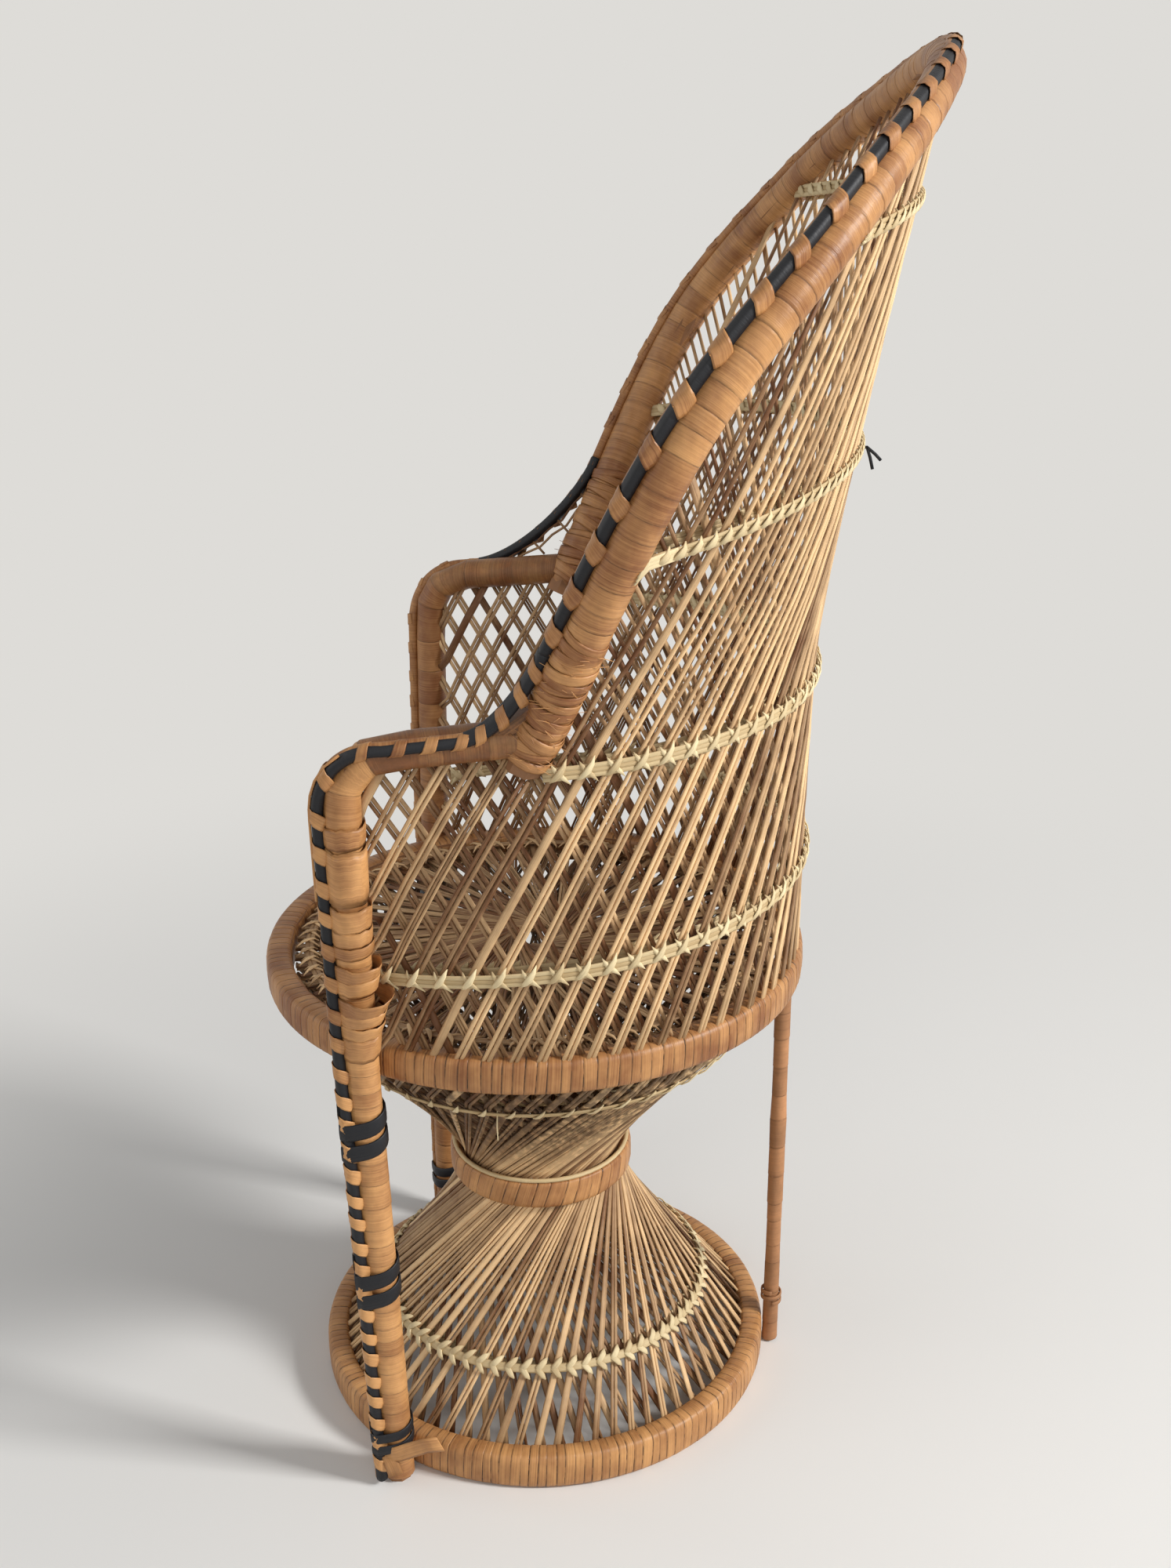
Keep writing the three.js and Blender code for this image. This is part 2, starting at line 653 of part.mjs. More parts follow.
function seatLayer(direction, height) {
  const pitch = (2 * Math.PI) / SEAT_STRANDS;
  const strand = (index) => {
    const middle = index * pitch;
    const eyeLoop = (radius) =>
      [[-1, -1], [1, -1], [1, 1], [-1, 1]].map(([i, j]) =>
        polar(radius, middle + (i * pitch) / 2, height + (j * STRAND_THICKNESS) / 2),
      );
    const rimAngle = middle + direction * SEAT_SKEW;
    const half = STRAND_WIDTH / 2 / rimRadius;
    const rimLoop = [[-1, -1], [1, -1], [1, 1], [-1, 1]].map(([i, j]) =>
      polar(rimRadius, rimAngle + i * half, height + (j * STRAND_THICKNESS) / 2),
    );
    return [eyeLoop(EYE_RADIUS - EYE_RING), eyeLoop(EYE_RADIUS), rimLoop];
  };
  return fusedStrands([...Array(SEAT_STRANDS).keys()].map(strand), 0);
}

function seatTwine(top) {
  const outer = rimRadius - SEAT_TWINE_INSET;
  const inner = outer - TWINE_WIDTH;
  const low = top - TWINE_THICKNESS;
  return ring([[inner, low], [outer, low], [outer, top], [inner, top]], RING_SIDES);
}

// Nails and the holes drilled for them

function rod(from, to, radius, tip) {
  const length = from.distanceTo(to);
  const outline = [[0, 0], [radius, 0], [radius, length - tip], [0, length]];
  const points = outline.map(([x, y]) => new THREE.Vector2(x, y));
  const geometry = new THREE.LatheGeometry(points, NAIL_SIDES);
  geometry.deleteAttribute('normal');
  geometry.deleteAttribute('uv');
  geometry.applyQuaternion(new THREE.Quaternion().setFromUnitVectors(vec(0, 1, 0), towards(from, to)));
  geometry.translate(from.x, from.y, from.z);
  const merged = mergeVertices(geometry);
  const position = merged.attributes.position;
  const solid = [...Array(position.count).keys()].map((i) => vec().fromBufferAttribute(position, i));
  const index = [...merged.index.array];
  const faces = [...Array(index.length / 3).keys()].map((i) => index.slice(3 * i, 3 * i + 3));
  return solidOf(solid, faces.filter((face) => new Set(face).size === 3).flat());
}

const nail = ({ from, to }) => rod(from, to, NAIL_RADIUS, NAIL_TIP);

function nailHole({ from, to }) {
  const direction = towards(from, to);
  const radius = (NAIL_RADIUS + FIT) / Math.cos(Math.PI / NAIL_SIDES);
  return rod(along(from, direction, -FIT), along(to, direction, FIT), radius, HOLE_TIP);
}

const LEG_CORE = LEG_RADIUS - PEEL - FIT;

// A nail through the leg into a hoop's strip, level and towards the base's axis
function hoopNail(side, height, stripInner) {
  const [foot, atSeat] = legPoints(side);
  const axis = along(foot, towards(foot, atSeat), height / towards(foot, atSeat).z);
  const inward = vec(-axis.x, -axis.y, 0).normalize();
  const from = along(axis, inward, NAIL_SINK - LEG_CORE);
  const reach = Math.hypot(from.x, from.y) - stripInner - NAIL_TIP / 2;
  return { from, to: along(from, inward, reach) };
}

// A nail through the hoop into the end of the arm
function elbowNail(side) {
  const elbow = place(ELBOW, side);
  const forward = towards(elbow, place(ARM_CORNER, side));
  const core = HOOP_RADIUS_ELBOW - PEEL - FIT;
  return {
    from: along(elbow, forward, NAIL_SINK - core),
    to: along(elbow, forward, HOOP_RADIUS_ELBOW + NAIL_BITE),
  };
}

// A nail from the seat hoop's strip down into the rear leg
const rearNailDepth = (seat.stripOuter + seat.stripInner) / 2;
const rearNail = {
  from: vec(0, rearNailDepth, seat.middle),
  to: vec(0, rearNailDepth, seat.bottom - NAIL_BITE),
};

const sides = [['left', 1], ['right', -1]];
const baseNails = sides.map(([, side]) => hoopNail(side, BASE_HEIGHT / 2, base.stripInner));
const seatNails = sides.map(([, side]) => hoopNail(side, seat.middle, seat.stripInner));
const elbowNails = sides.map(([, side]) => elbowNail(side));

const holes = (nails) => nails.map(nailHole);

// Edge braid: a strip with a narrower crest, standing on a pole

function braidLoop({ centre, tangent, radius }, face) {
  const normal = squareTo(face, tangent);
  const sideways = tangent.clone().cross(normal);
  const low = along(centre, normal, radius + FIT);
  const high = along(low, normal, BRAID_HEIGHT);
  return [
    along(low, sideways, -BRAID_WIDTH / 2),
    along(low, sideways, BRAID_WIDTH / 2),
    along(high, sideways, BRAID_CREST / 2),
    along(high, sideways, -BRAID_CREST / 2),
  ];
}

// The outer front of a leg, which becomes the outer top of its arm
function legFace(tangent, side) {
  const front = across.clone().cross(tangent).normalize();
  const outward = squareTo(across, tangent).multiplyScalar(side);
  return front.multiplyScalar(Math.cos(BRAID_ROLL)).addScaledVector(outward, Math.sin(BRAID_ROLL));
}

function legBraid(side) {
  const stations = legStations(side);
  const [foot, atSeat] = [stations[0], stations[1]];
  const start = { ...foot, centre: between(foot.centre, atSeat.centre, BRAID_FOOT / seat.bottom) };
  const elbow = stations[stations.length - 1];
  const stop = HOOP_RADIUS_ELBOW + BRAID_HEIGHT;
  const end = { ...elbow, centre: along(elbow.centre, elbow.tangent, -stop) };
  const run = [start, ...stations.slice(1, -1), end];
  return loft(run.map((station) => braidLoop(station, legFace(station.tangent, side))));
}

function hoopBraid() {
  const first = BRAID_START / hoopLength;
  const shares = [...Array(HOOP_STEPS + 1).keys()].map((i) => first + (1 - 2 * first) * (i / HOOP_STEPS));
  return loft(shares.map((share) => braidLoop(hoopStation(share), hoopFace)));
}

// Corner web: a cane from arm to hoop, with thin canes down to the arm

function cane(points, radius) {
  const stations = points.map((centre, i) => ({
    centre,
    tangent: towards(points[Math.max(i - 1, 0)], points[Math.min(i + 1, points.length - 1)]),
    radius,
  }));
  return loft(poleLoops(stations, across, 0));
}

function cornerWeb(side, armLength, hoopReach) {
  const stations = legStations(side);
  const elbow = stations[stations.length - 1];
  const lift = LEG_RADIUS + FIT + BRAID_HEIGHT + FIT + WEB_RADIUS;
  const armNormal = legFace(elbow.tangent, side);
  const onArm = along(along(elbow.centre, elbow.tangent, -armLength), armNormal, lift);
  const share = hoopReach / hoopLength;
  const onHoop = hoopStation(side > 0 ? share : 1 - share);
  const hoopNormal = squareTo(hoopFace, onHoop.tangent);
  const hoopLift = onHoop.radius + FIT + BRAID_HEIGHT + FIT + WEB_RADIUS;
  const end = along(onHoop.centre, hoopNormal, hoopLift);
  const bend = along(elbow.centre, elbow.tangent, -HOOP_RADIUS_ELBOW - lift);
  bend.addScaledVector(armNormal, lift + WEB_RADIUS);
  const curve = new THREE.QuadraticBezierCurve3(onArm, bend, end);
  const threads = WEB_THREAD_PLACES.map((place) => {
    const top = curve.getPoint(place);
    const foot = top.clone();
    const above = foot.clone().sub(elbow.centre).dot(armNormal);
    foot.addScaledVector(armNormal, LEG_RADIUS + FIT + BRAID_HEIGHT + FIT - above);
    return cane([foot, top], WEB_THREAD);
  });
  return joined([cane(curve.getPoints(WEB_STEPS), WEB_RADIUS), ...threads]);
}

// Windings: a flat strip wound as a helix round an outline

// Outline round a leg and its braid, as [forward, sideways] points
function legOutline() {
  const crest = LEG_RADIUS + FIT + BRAID_HEIGHT;
  const reach = FIT + STRIP_THICKNESS / 2;
  const corner = [crest + reach, BRAID_CREST / 2 + reach];
  const distance = Math.hypot(crest, BRAID_CREST / 2);
  const first = Math.atan2(BRAID_CREST / 2, crest) + Math.acos(LEG_RADIUS / distance);
  const step = (2 * Math.PI - 2 * first) / (STRIP_STEPS - 1);
  const radius = (LEG_RADIUS + FIT) / Math.cos(step / 2) + STRIP_THICKNESS / 2;
  const round = [...Array(STRIP_STEPS).keys()].map((i) => first + i * step);
  return [
    [corner[0], -corner[1]],
    corner,
    ...round.map((angle) => [radius * Math.cos(angle), radius * Math.sin(angle)]),
  ];
}

function stickOutline() {
  const angles = [...Array(STRIP_STEPS).keys()].map((i) => (i / STRIP_STEPS) * 2 * Math.PI);
  const radius = (REAR_RADIUS + FIT) / Math.cos(Math.PI / STRIP_STEPS) + STRIP_THICKNESS / 2;
  return angles.map((angle) => [radius * Math.cos(angle), radius * Math.sin(angle)]);
}

function winding(name, outline, axis, turns, width, pitch) {
  const count = outline.length;
  const steps = turns * count;
  const loops = [...Array(steps + 1).keys()].map((i) => {
    const [forward, sideways] = outline[i % count];
    const level = pitch * (i / count - turns / 2);
    const outward = axis.forward.clone().multiplyScalar(forward).addScaledVector(axis.sideways, sideways);
    const centre = axis.centre.clone().add(outward).addScaledVector(axis.up, level);
    outward.normalize();
    return [[-1, -1], [1, -1], [1, 1], [-1, 1]].map(([out, rise]) =>
      along(along(centre, outward, (out * STRIP_THICKNESS) / 2), axis.up, (rise * width) / 2),
    );
  });
  let least = Infinity;
  for (let i = 0; i + count <= steps; i += 1) {
    for (const low of loops[i]) {
      for (const high of loops[i + count]) least = Math.min(least, low.distanceTo(high));
    }
  }
  console.log(`${name}: least gap to itself ${least.toFixed(2)} mm`);
  return loft(loops);
}

function legBinding(name, side, middle, turns) {
  const [foot, atSeat] = legPoints(side);
  const rise = towards(foot, atSeat);
  const forward = legFace(rise, side);
  const axis = {
    centre: along(foot, rise, middle / rise.z),
    up: rise,
    forward,
    sideways: rise.clone().cross(forward),
  };
  return winding(name, legOutline(), axis, turns, STRIP_WIDTH, STRIP_PITCH);
}

// Hoops

const baseWrapProfile = [
  [BASE_RADIUS, 0],
  [BASE_RADIUS, BASE_HEIGHT],
  [base.stripInner, BASE_HEIGHT],
  [base.stripInner, BASE_HEIGHT - PEEL],
  [BASE_RADIUS - PEEL, BASE_HEIGHT - PEEL],
  [BASE_RADIUS - PEEL, PEEL],
  [base.lip, PEEL],
  [base.lip, 0],
];

const waistWrapProfile = [
  [WAIST_RADIUS, waist.bottom],
  [WAIST_RADIUS, waist.top],
  [waist.stripInner, waist.top],
  [waist.stripInner, waist.top - PEEL],
  [WAIST_RADIUS - PEEL, waist.top - PEEL],
  [WAIST_RADIUS - PEEL, waist.bottom + PEEL],
  [waist.stripInner, waist.bottom + PEEL],
  [waist.stripInner, waist.bottom],
];

const seatWrapProfile = [
  [SEAT_RADIUS, seat.bottom],
  [SEAT_RADIUS, seat.top],
  [SEAT_RADIUS - PEEL, seat.top],
  [SEAT_RADIUS - PEEL, seat.bottom + PEEL],
  [seat.bore + PEEL, seat.bottom + PEEL],
  [seat.bore + PEEL, seat.top - PEEL],
  [seat.stripOuter, seat.top - PEEL],
  [seat.stripOuter, seat.top],
  [seat.bore, seat.top],
  [seat.bore, seat.bottom],
];

function stripRing(inner, outer, bottom, top, ringSides) {
  const [low, high] = [bottom + PEEL + FIT, top - PEEL - FIT];
  return ring([[inner, low], [outer, low], [outer, high], [inner, high]], ringSides);
}

function rimCane() {
  const radius = RIM_CANE / 2;
  const middle = WAIST_RADIUS - PEEL - radius;
  const profile = [...Array(CANE_SIDES).keys()].map((i) => {
    const angle = -Math.PI / 2 + (i / CANE_SIDES) * 2 * Math.PI;
    return [middle + radius * Math.cos(angle), waist.top + FIT + radius + radius * Math.sin(angle)];
  });
  return ring(profile, WAIST_SIDES);
}

const baseHoop = stripRing(base.stripInner, base.stripOuter, 0, BASE_HEIGHT, RING_SIDES);
const waistHoop = stripRing(waist.stripInner, waist.stripOuter, waist.bottom, waist.top, WAIST_SIDES);
const seatHoop = stripRing(seat.stripInner, seat.stripOuter, seat.bottom, seat.top, RING_SIDES);
const seatHoles = holes([...seatNails, rearNail]);
addPiece('base_hoop', cutBy(baseHoop, holes(baseNails)), 'pole');
addPiece('base_hoop_wrap', cutBy(ring(baseWrapProfile, RING_SIDES), holes(baseNails)), 'peel');
addPiece('waist_hoop', waistHoop, 'pole');
addPiece('waist_hoop_wrap', ring(waistWrapProfile, WAIST_SIDES), 'peel');
addPiece('waist_rim_cane', rimCane(), 'twine');
addPiece('seat_hoop', cutBy(seatHoop, seatHoles), 'pole');
addPiece('seat_hoop_wrap', cutBy(ring(seatWrapProfile, RING_SIDES), seatHoles), 'peel');

// Back hoop

addPiece('back_hoop', cutBy(poleCore(hoopStations(), hoopFace), holes(elbowNails)), 'pole');
addPiece('back_hoop_wrap', cutBy(poleWrap(hoopStations(), hoopFace), holes(elbowNails)), 'peel');
addPiece('back_hoop_braid', hoopBraid(), 'braid');

// Front legs with their arms, each notched to sit against the back hoop

const hoopNotch = loft(poleLoops(hoopStations(), hoopFace, -FIT));
sides.forEach(([label, side], i) => {
  const stations = legStations(side);
  const cutters = [hoopNotch, ...holes([baseNails[i], seatNails[i], elbowNails[i]])];
  addPiece(`front_leg_${label}`, cutBy(poleCore(stations, across), cutters), 'pole');
  addPiece(`front_leg_wrap_${label}`, cutBy(poleWrap(stations, across), cutters), 'peel');
  addPiece(`leg_braid_${label}`, legBraid(side), 'braid');
  for (const { name, middle, turns } of BINDINGS) {
    const bindingName = `leg_binding_${name}_${label}`;
    addPiece(bindingName, legBinding(bindingName, side, middle, turns), 'black');
  }
  addPiece(`base_nail_${label}`, nail(baseNails[i]), 'steel');
  addPiece(`seat_nail_${label}`, nail(seatNails[i]), 'steel');
  addPiece(`elbow_nail_${label}`, nail(elbowNails[i]), 'steel');
});
addPiece('corner_web_right', cornerWeb(-1, WEB_ARM_RIGHT, WEB_HOOP_RIGHT), 'strand');
addPiece('corner_web_left', cornerWeb(1, WEB_ARM_LEFT, WEB_HOOP_LEFT), 'strand');

// Rear leg

const rearFoot = vec(0, BASE_RADIUS + FIT + REAR_RADIUS, 0);
const rearTop = vec(0, rearNailDepth + REAR_NAIL_OFFSET, seat.bottom - FIT);
const rearStations = [rearFoot, rearTop].map((centre) => ({ centre, tangent: up, radius: REAR_RADIUS }));
const rearAxis = {
  centre: between(rearFoot, rearTop, TIE_MIDDLE / rearTop.z),
  up: towards(rearFoot, rearTop),
  forward: across,
  sideways: towards(rearFoot, rearTop).cross(across),
};
addPiece('rear_leg', cutBy(loft(poleLoops(rearStations, across, 0)), holes([rearNail])), 'stick');
const rearTie = winding('rear_leg_tie', stickOutline(), rearAxis, TIE_TURNS, TIE_WIDTH, TIE_PITCH);
addPiece('rear_leg_tie', rearTie, 'black');
addPiece('rear_nail', nail(rearNail), 'steel');

// Strands and twined bands

for (const [label, layer] of [['outer', 1], ['inner', -1]]) {
  addPiece(`hourglass_strands_${label}`, hourglassLayer(layer), 'strand');
  addPiece(`base_twine_${label}`, hourglassTwine(layer, BASE_TWINE_HEIGHT), 'twine');
  addPiece(`bowl_twine_${label}`, hourglassTwine(layer, seat.bottom - BOWL_TWINE_DROP), 'twine');
  addPiece(`back_strands_${label}`, cutBy(backLayer(layer), holes(seatNails)), 'strand');
  BACK_TWINES.forEach((twine, i) => {
    addPiece(`back_twine_${i + 1}_${label}`, backTwine(layer, twine), 'twine');
  });
}
addPiece('seat_strands_upper', seatLayer(1, seat.upper), 'strand');
addPiece('seat_strands_lower', seatLayer(-1, seat.lower), 'strand');
addPiece('seat_twine_upper', seatTwine(seat.twineTop), 'twine');
addPiece('seat_twine_lower', seatTwine(seat.twineUnder), 'twine');

// The origin is on the floor, under the middle of the whole chair
const extent = new THREE.Box3().setFromObject(chair);
chair.position.y = -(extent.min.y + extent.max.y) / 2;

export default chair;
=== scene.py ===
"""A child's peacock chair in rattan peel, split cane and straw, dressed over its solids.

Lengths are millimetres about the axis of the base hoop, with +Z up, the sitter facing -Y and the
sitter's left at +X. add_piece() turns them into the frame's metres.
"""

import math
import random
from bisect import bisect

import bmesh
import bpy
from mathutils import Matrix, Vector
from mathutils.geometry import interpolate_bezier


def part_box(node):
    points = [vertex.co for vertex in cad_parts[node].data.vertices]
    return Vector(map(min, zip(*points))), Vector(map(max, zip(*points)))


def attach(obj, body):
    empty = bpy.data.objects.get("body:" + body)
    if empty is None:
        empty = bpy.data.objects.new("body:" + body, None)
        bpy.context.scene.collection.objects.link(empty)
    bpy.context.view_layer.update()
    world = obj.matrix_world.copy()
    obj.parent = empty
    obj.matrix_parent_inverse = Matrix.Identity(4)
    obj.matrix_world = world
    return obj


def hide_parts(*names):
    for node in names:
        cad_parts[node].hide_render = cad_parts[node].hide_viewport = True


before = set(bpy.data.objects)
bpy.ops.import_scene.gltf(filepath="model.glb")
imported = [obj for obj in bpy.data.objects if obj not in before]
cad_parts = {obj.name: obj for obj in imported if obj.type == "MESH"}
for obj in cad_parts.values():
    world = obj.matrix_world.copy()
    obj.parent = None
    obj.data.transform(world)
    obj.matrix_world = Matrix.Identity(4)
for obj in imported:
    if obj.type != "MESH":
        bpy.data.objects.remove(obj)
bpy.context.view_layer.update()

bl_info = {
    "name": "Cane Peacock Chair",
    "version": (1, 0, 0),
    "blender": (4, 5, 0),
    "location": "View3D > Sidebar > Chair",
    "description": "Dresses the solids of a child's peacock chair in peel, cane and straw",
    "category": "Add Mesh",
}

MM = 0.001
UP = Vector((0, 0, 1))
ACROSS = Vector((1, 0, 0))
SEED = 7

# The frame gives the hoops; the base hoop's axis is the middle of everything else
LOW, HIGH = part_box("base_hoop_wrap")
AXIS_Y = (LOW.y + HIGH.y) / 2


def hoop_of(node):
    """Outer radius, bottom and top of a level hoop, in millimetres."""
    low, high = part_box(node)
    return (high.x - low.x) / 2 / MM, low.z / MM, high.z / MM


BASE_RADIUS, BASE_BOTTOM, BASE_TOP = hoop_of("base_hoop_wrap")
WAIST_RADIUS, WAIST_BOTTOM, WAIST_TOP = hoop_of("waist_hoop_wrap")
SEAT_RADIUS, SEAT_BOTTOM, SEAT_TOP = hoop_of("seat_hoop_wrap")
BASE_WALL = 14  # thickness of a wrapped hoop
WAIST_WALL = 6
SEAT_WALL = 14.8
HOOP_SQUARENESS = 0.5  # 1 is a round section, less is squarer

# Pedestal strands, ring by ring from the floor: radius of the outer layer, turn and height
LAYER_STEP = 3.7
PEDESTAL_RINGS = (
    (123.3, -50, 16),
    (45.9, 0, WAIST_BOTTOM),
    (45.9, 0, WAIST_TOP),
    (120, 49, 236),
    (133.4, 61, 268),
)
PEDESTAL_STEPS = (6, 1, 6, 2)
BASE_TWINE_HEIGHT = 51
BOWL_TWINE_HEIGHT = SEAT_BOTTOM - 30.5

# Back hoop, from the left elbow to the crown
ELBOW = Vector((151, 16, 448))
FLARE = Vector((191, 84, 590))
SHOULDER = Vector((160, 144, 665))
BROW = Vector((75, 187, 712))
CROWN = Vector((0, 201, 728))
HOOP_RADIUS_CROWN = 9
HOOP_RADIUS_ELBOW = 11.7
HOOP_TAIL = 17
HOOP_STEPS = 40  # between two knots of its line
HOOP_FACE = Vector((0, ELBOW.z - CROWN.z, CROWN.y - ELBOW.y)).normalized()

# Back lattice
SEAT_LATTICE = 145  # its radius at the seat
STRAND_FOOT = SEAT_TOP - 6
LEAN_AT_SEAT = 0.42  # sideways run of a strand for each millimetre that it climbs
LEAN_ABOVE_ARMS = 0.58
LEAN_RAMP = 190  # height over which the lean grows
BACK_AT_ELBOW = 149  # how far back it lies at two heights
BACK_AT_CROWN = 199
BACK_CURVE = 1.15
ARM_FLARE = 1.6
BACK_BANDS = ((324, 12), (429, 8), (524, 31), (627, 44))  # height at the sides, and climb to the back

# Front legs
LEG_RADIUS = 9
FOOT_BEARING = math.radians(-31.2)
SEAT_BEARING = math.radians(-28.2)
ARM_CORNER = Vector((158, -73, 440))
ARM_BEND = 26
POLE_STEPS = 20  # of each straight part of a leg, of its bend and of its arm
BEND_STEPS = 24
ARM_STEPS = 10
LEG_ANGLE = math.pi / 2 - SEAT_BEARING
ARM_LENGTH = (ELBOW - ARM_CORNER).length
# Name, place along the leg and turns of each solid binding; the visible strip goes round twice
BINDINGS = (("upper", 238, 3), ("middle", 143, 3), ("lower", 35, 2))
BINDING_PITCH = 4.25  # for each turn of the solid

# Rear leg
REAR_RADIUS = 5
REAR_FOOT = Vector((0, BASE_RADIUS + REAR_RADIUS, 0))
REAR_TOP = Vector((0, 140.6, SEAT_BOTTOM + 4))
REAR_KNOTS = (52, 106, 155, 218)  # along the stick
REAR_KNOT_HALF_LENGTH = 4
REAR_KNOT_HEIGHT = 0.5
REAR_WAVE = 0.2  # of its radius along its length
REAR_WAVE_LENGTH = 17
BARK_THINNER = 0.4  # between the knots than the solid
BARK_PITCH = 17
BARK_TONES = (0.25, 0.65, 0)
BARK_SLANT = 0.12


def linear(code):
    """An sRGB hex colour as linear RGB."""
    values = [int(code[i:i + 2], 16) / 255 for i in (1, 3, 5)]
    return tuple(v / 12.92 if v <= 0.04045 else ((v + 0.055) / 1.055) ** 2.4 for v in values)


# Settings


def length_setting(name, description, millimetres):
    return bpy.props.FloatProperty(
        name=name,
        description=description,
        default=millimetres * MM,
        min=0,
        unit="LENGTH",
        precision=4,
    )


def colour_setting(name, description, code):
    return bpy.props.FloatVectorProperty(
        name=name,
        description=description,
        default=linear(code),
        min=0,
        max=1,
        subtype="COLOR",
    )


class ChairSizes(bpy.types.PropertyGroup):
    """Sizes and counts of the woven pieces"""

    pedestal_strands: bpy.props.IntProperty(
        name="Pedestal Strands",
        description="Strands in each layer of the pedestal and the seat",
        default=70,
        min=12,
    )
    back_strands: bpy.props.IntProperty(
        name="Back Strands",
        description="Strands in each layer of the back, for a full circle",
        default=76,
        min=12,
    )
    strand_width: length_setting("Strand Width", "Width of a strand of one to three canes", 4.9)
    cane_thickness: length_setting("Cane Thickness", "Thickness of a cane", 1.7)
    twine_width: length_setting("Twine Width", "Height of the straw in a twined band", 6.6)
    hoop_peel: length_setting("Hoop Peel", "Width of the peel on the level hoops", 6.1)
    pole_peel: length_setting("Pole Peel", "Width of the peel on legs, arms and back hoop", 12)
    braid_pitch: length_setting("Braid Pitch", "From one black patch to the next on the back hoop", 22.8)
    leg_braid_pitch: length_setting("Leg Braid Pitch", "The same on the legs", 17.5)
    arm_braid_pitch: length_setting("Arm Braid Pitch", "The same on the arms", 13.5)
    lash_width: length_setting("Lash Width", "Natural peel between two black patches on the legs", 7.2)
    binding_width: length_setting("Binding Width", "Width of the black strip round the legs", 9.8)


class ChairColours(bpy.types.PropertyGroup):
    """Colours of the finishes"""

    peel_light: colour_setting("Light Peel", "Fresh rattan peel", "#CF9960")
    peel_dark: colour_setting("Dark Peel", "Aged rattan peel", "#84522C")
    cane_light: colour_setting("Light Cane", "Palest split cane", "#EAC492")
    cane_dark: colour_setting("Dark Cane", "Darkest split cane", "#6A4222")
    straw: colour_setting("Straw", "Pale straw of the twined bands", "#E4D1A6")
    black: colour_setting("Black Peel", "Dyed peel", "#0C0D12")
    stick: colour_setting("Stick", "Bark of the rear leg", "#8A6140")
    floor: colour_setting("Floor", "Studio floor", "#E4E2DE")


# Lines and directions


def clamp(share):
    return min(max(share, 0.0), 1.0)


def polar(radius, angle, z):
    return Vector((radius * math.cos(angle), radius * math.sin(angle), z))


def round_axis(angle):
    """The outward direction at an angle about the axis, and the direction along a hoop there."""
    radial = polar(1, angle, 0)
    return radial, Vector((-radial.y, radial.x, 0))


def mirrored(point, side):
    return Vector((side * point.x, point.y, point.z))


def square_to(direction, axis):
    return (direction - axis * direction.dot(axis)).normalized()


class Line:
    """A line through close points, read by its length from the start."""

    def __init__(self, points):
        self.points = points
        self.marks = [0]
        for a, b in zip(points, points[1:]):
            self.marks.append(self.marks[-1] + (b - a).length)
        self.length = self.marks[-1]

    def at(self, length):
        i = min(max(bisect(self.marks, length) - 1, 0), len(self.points) - 2)
        share = (length - self.marks[i]) / (self.marks[i + 1] - self.marks[i])
        return self.points[i].lerp(self.points[i + 1], share)

    def tangent(self, length):
        return (self.at(length + 1) - self.at(length - 1)).normalized()


def smooth_line(knots, resolution):
    """A centripetal Catmull-Rom line through the knots."""
    first = knots[0] * 2 - knots[1]
    last = knots[-1] * 2 - knots[-2]
    padded = [first, *knots, last]
    points = [knots[0]]
    for p0, p1, p2, p3 in zip(padded, padded[1:], padded[2:], padded[3:]):
        d0, d1, d2 = (math.sqrt((b - a).length) for a, b in ((p0, p1), (p1, p2), (p2, p3)))
        leave = ((p1 - p0) / d0 - (p2 - p0) / (d0 + d1) + (p2 - p1) / d1) * d1
        reach = ((p2 - p1) / d1 - (p3 - p1) / (d1 + d2) + (p3 - p2) / d2) * d1
        points += interpolate_bezier(p1, p1 + leave / 3, p2 - reach / 3, p2, resolution)[1:]
    return Line(points)


HALF_HOOP = [ELBOW, FLARE, SHOULDER, BROW]
HOOP = smooth_line([*HALF_HOOP, CROWN, *(mirrored(p, -1) for p in reversed(HALF_HOOP))], HOOP_STEPS)


def hoop_radius(length):
    swell = abs(2 * clamp(length / HOOP.length) - 1) ** 2
    return HOOP_RADIUS_CROWN + (HOOP_RADIUS_ELBOW - HOOP_RADIUS_CROWN) * swell


def past_elbow(side, reach):
    """The place along the back hoop at a length from the elbow of one side."""
    return reach if side > 0 else HOOP.length - reach


def leg_line(side):
    foot = polar(BASE_RADIUS + LEG_RADIUS, FOOT_BEARING, 0)
    at_seat = polar(SEAT_RADIUS + LEG_RADIUS, SEAT_BEARING, SEAT_BOTTOM)
    rise = (ARM_CORNER - at_seat).normalized()
    reach = (ELBOW - ARM_CORNER).normalized()
    start = ARM_CORNER - rise * ARM_BEND
    end = ARM_CORNER + reach * ARM_BEND
    leave, arrive = start.lerp(ARM_CORNER, 2 / 3), end.lerp(ARM_CORNER, 2 / 3)
    bend = interpolate_bezier(start, leave, arrive, end, BEND_STEPS)
    straight = [foot.lerp(at_seat, i / POLE_STEPS) for i in range(POLE_STEPS)]
    straight += [at_seat.lerp(start, i / POLE_STEPS) for i in range(POLE_STEPS)]
    arm = [end.lerp(ELBOW, i / ARM_STEPS) for i in range(1, ARM_STEPS + 1)]
    return Line([mirrored(p, side) for p in (*straight, *bend, *arm)])


LEGS = {"left": (1, leg_line(1)), "right": (-1, leg_line(-1))}


def leg_front(tangent):
    """The front of a leg, which becomes the top of its arm."""
    return ACROSS.cross(tangent).normalized()


# Surface of the back lattice, by angle from the back and height


def hoop_at_height(z):
    low, high = 0, HOOP.length / 2
    for _ in range(24):
        middle = (low + high) / 2
        low, high = (middle, high) if HOOP.at(middle).z < z else (low, middle)
    return HOOP.at(low)


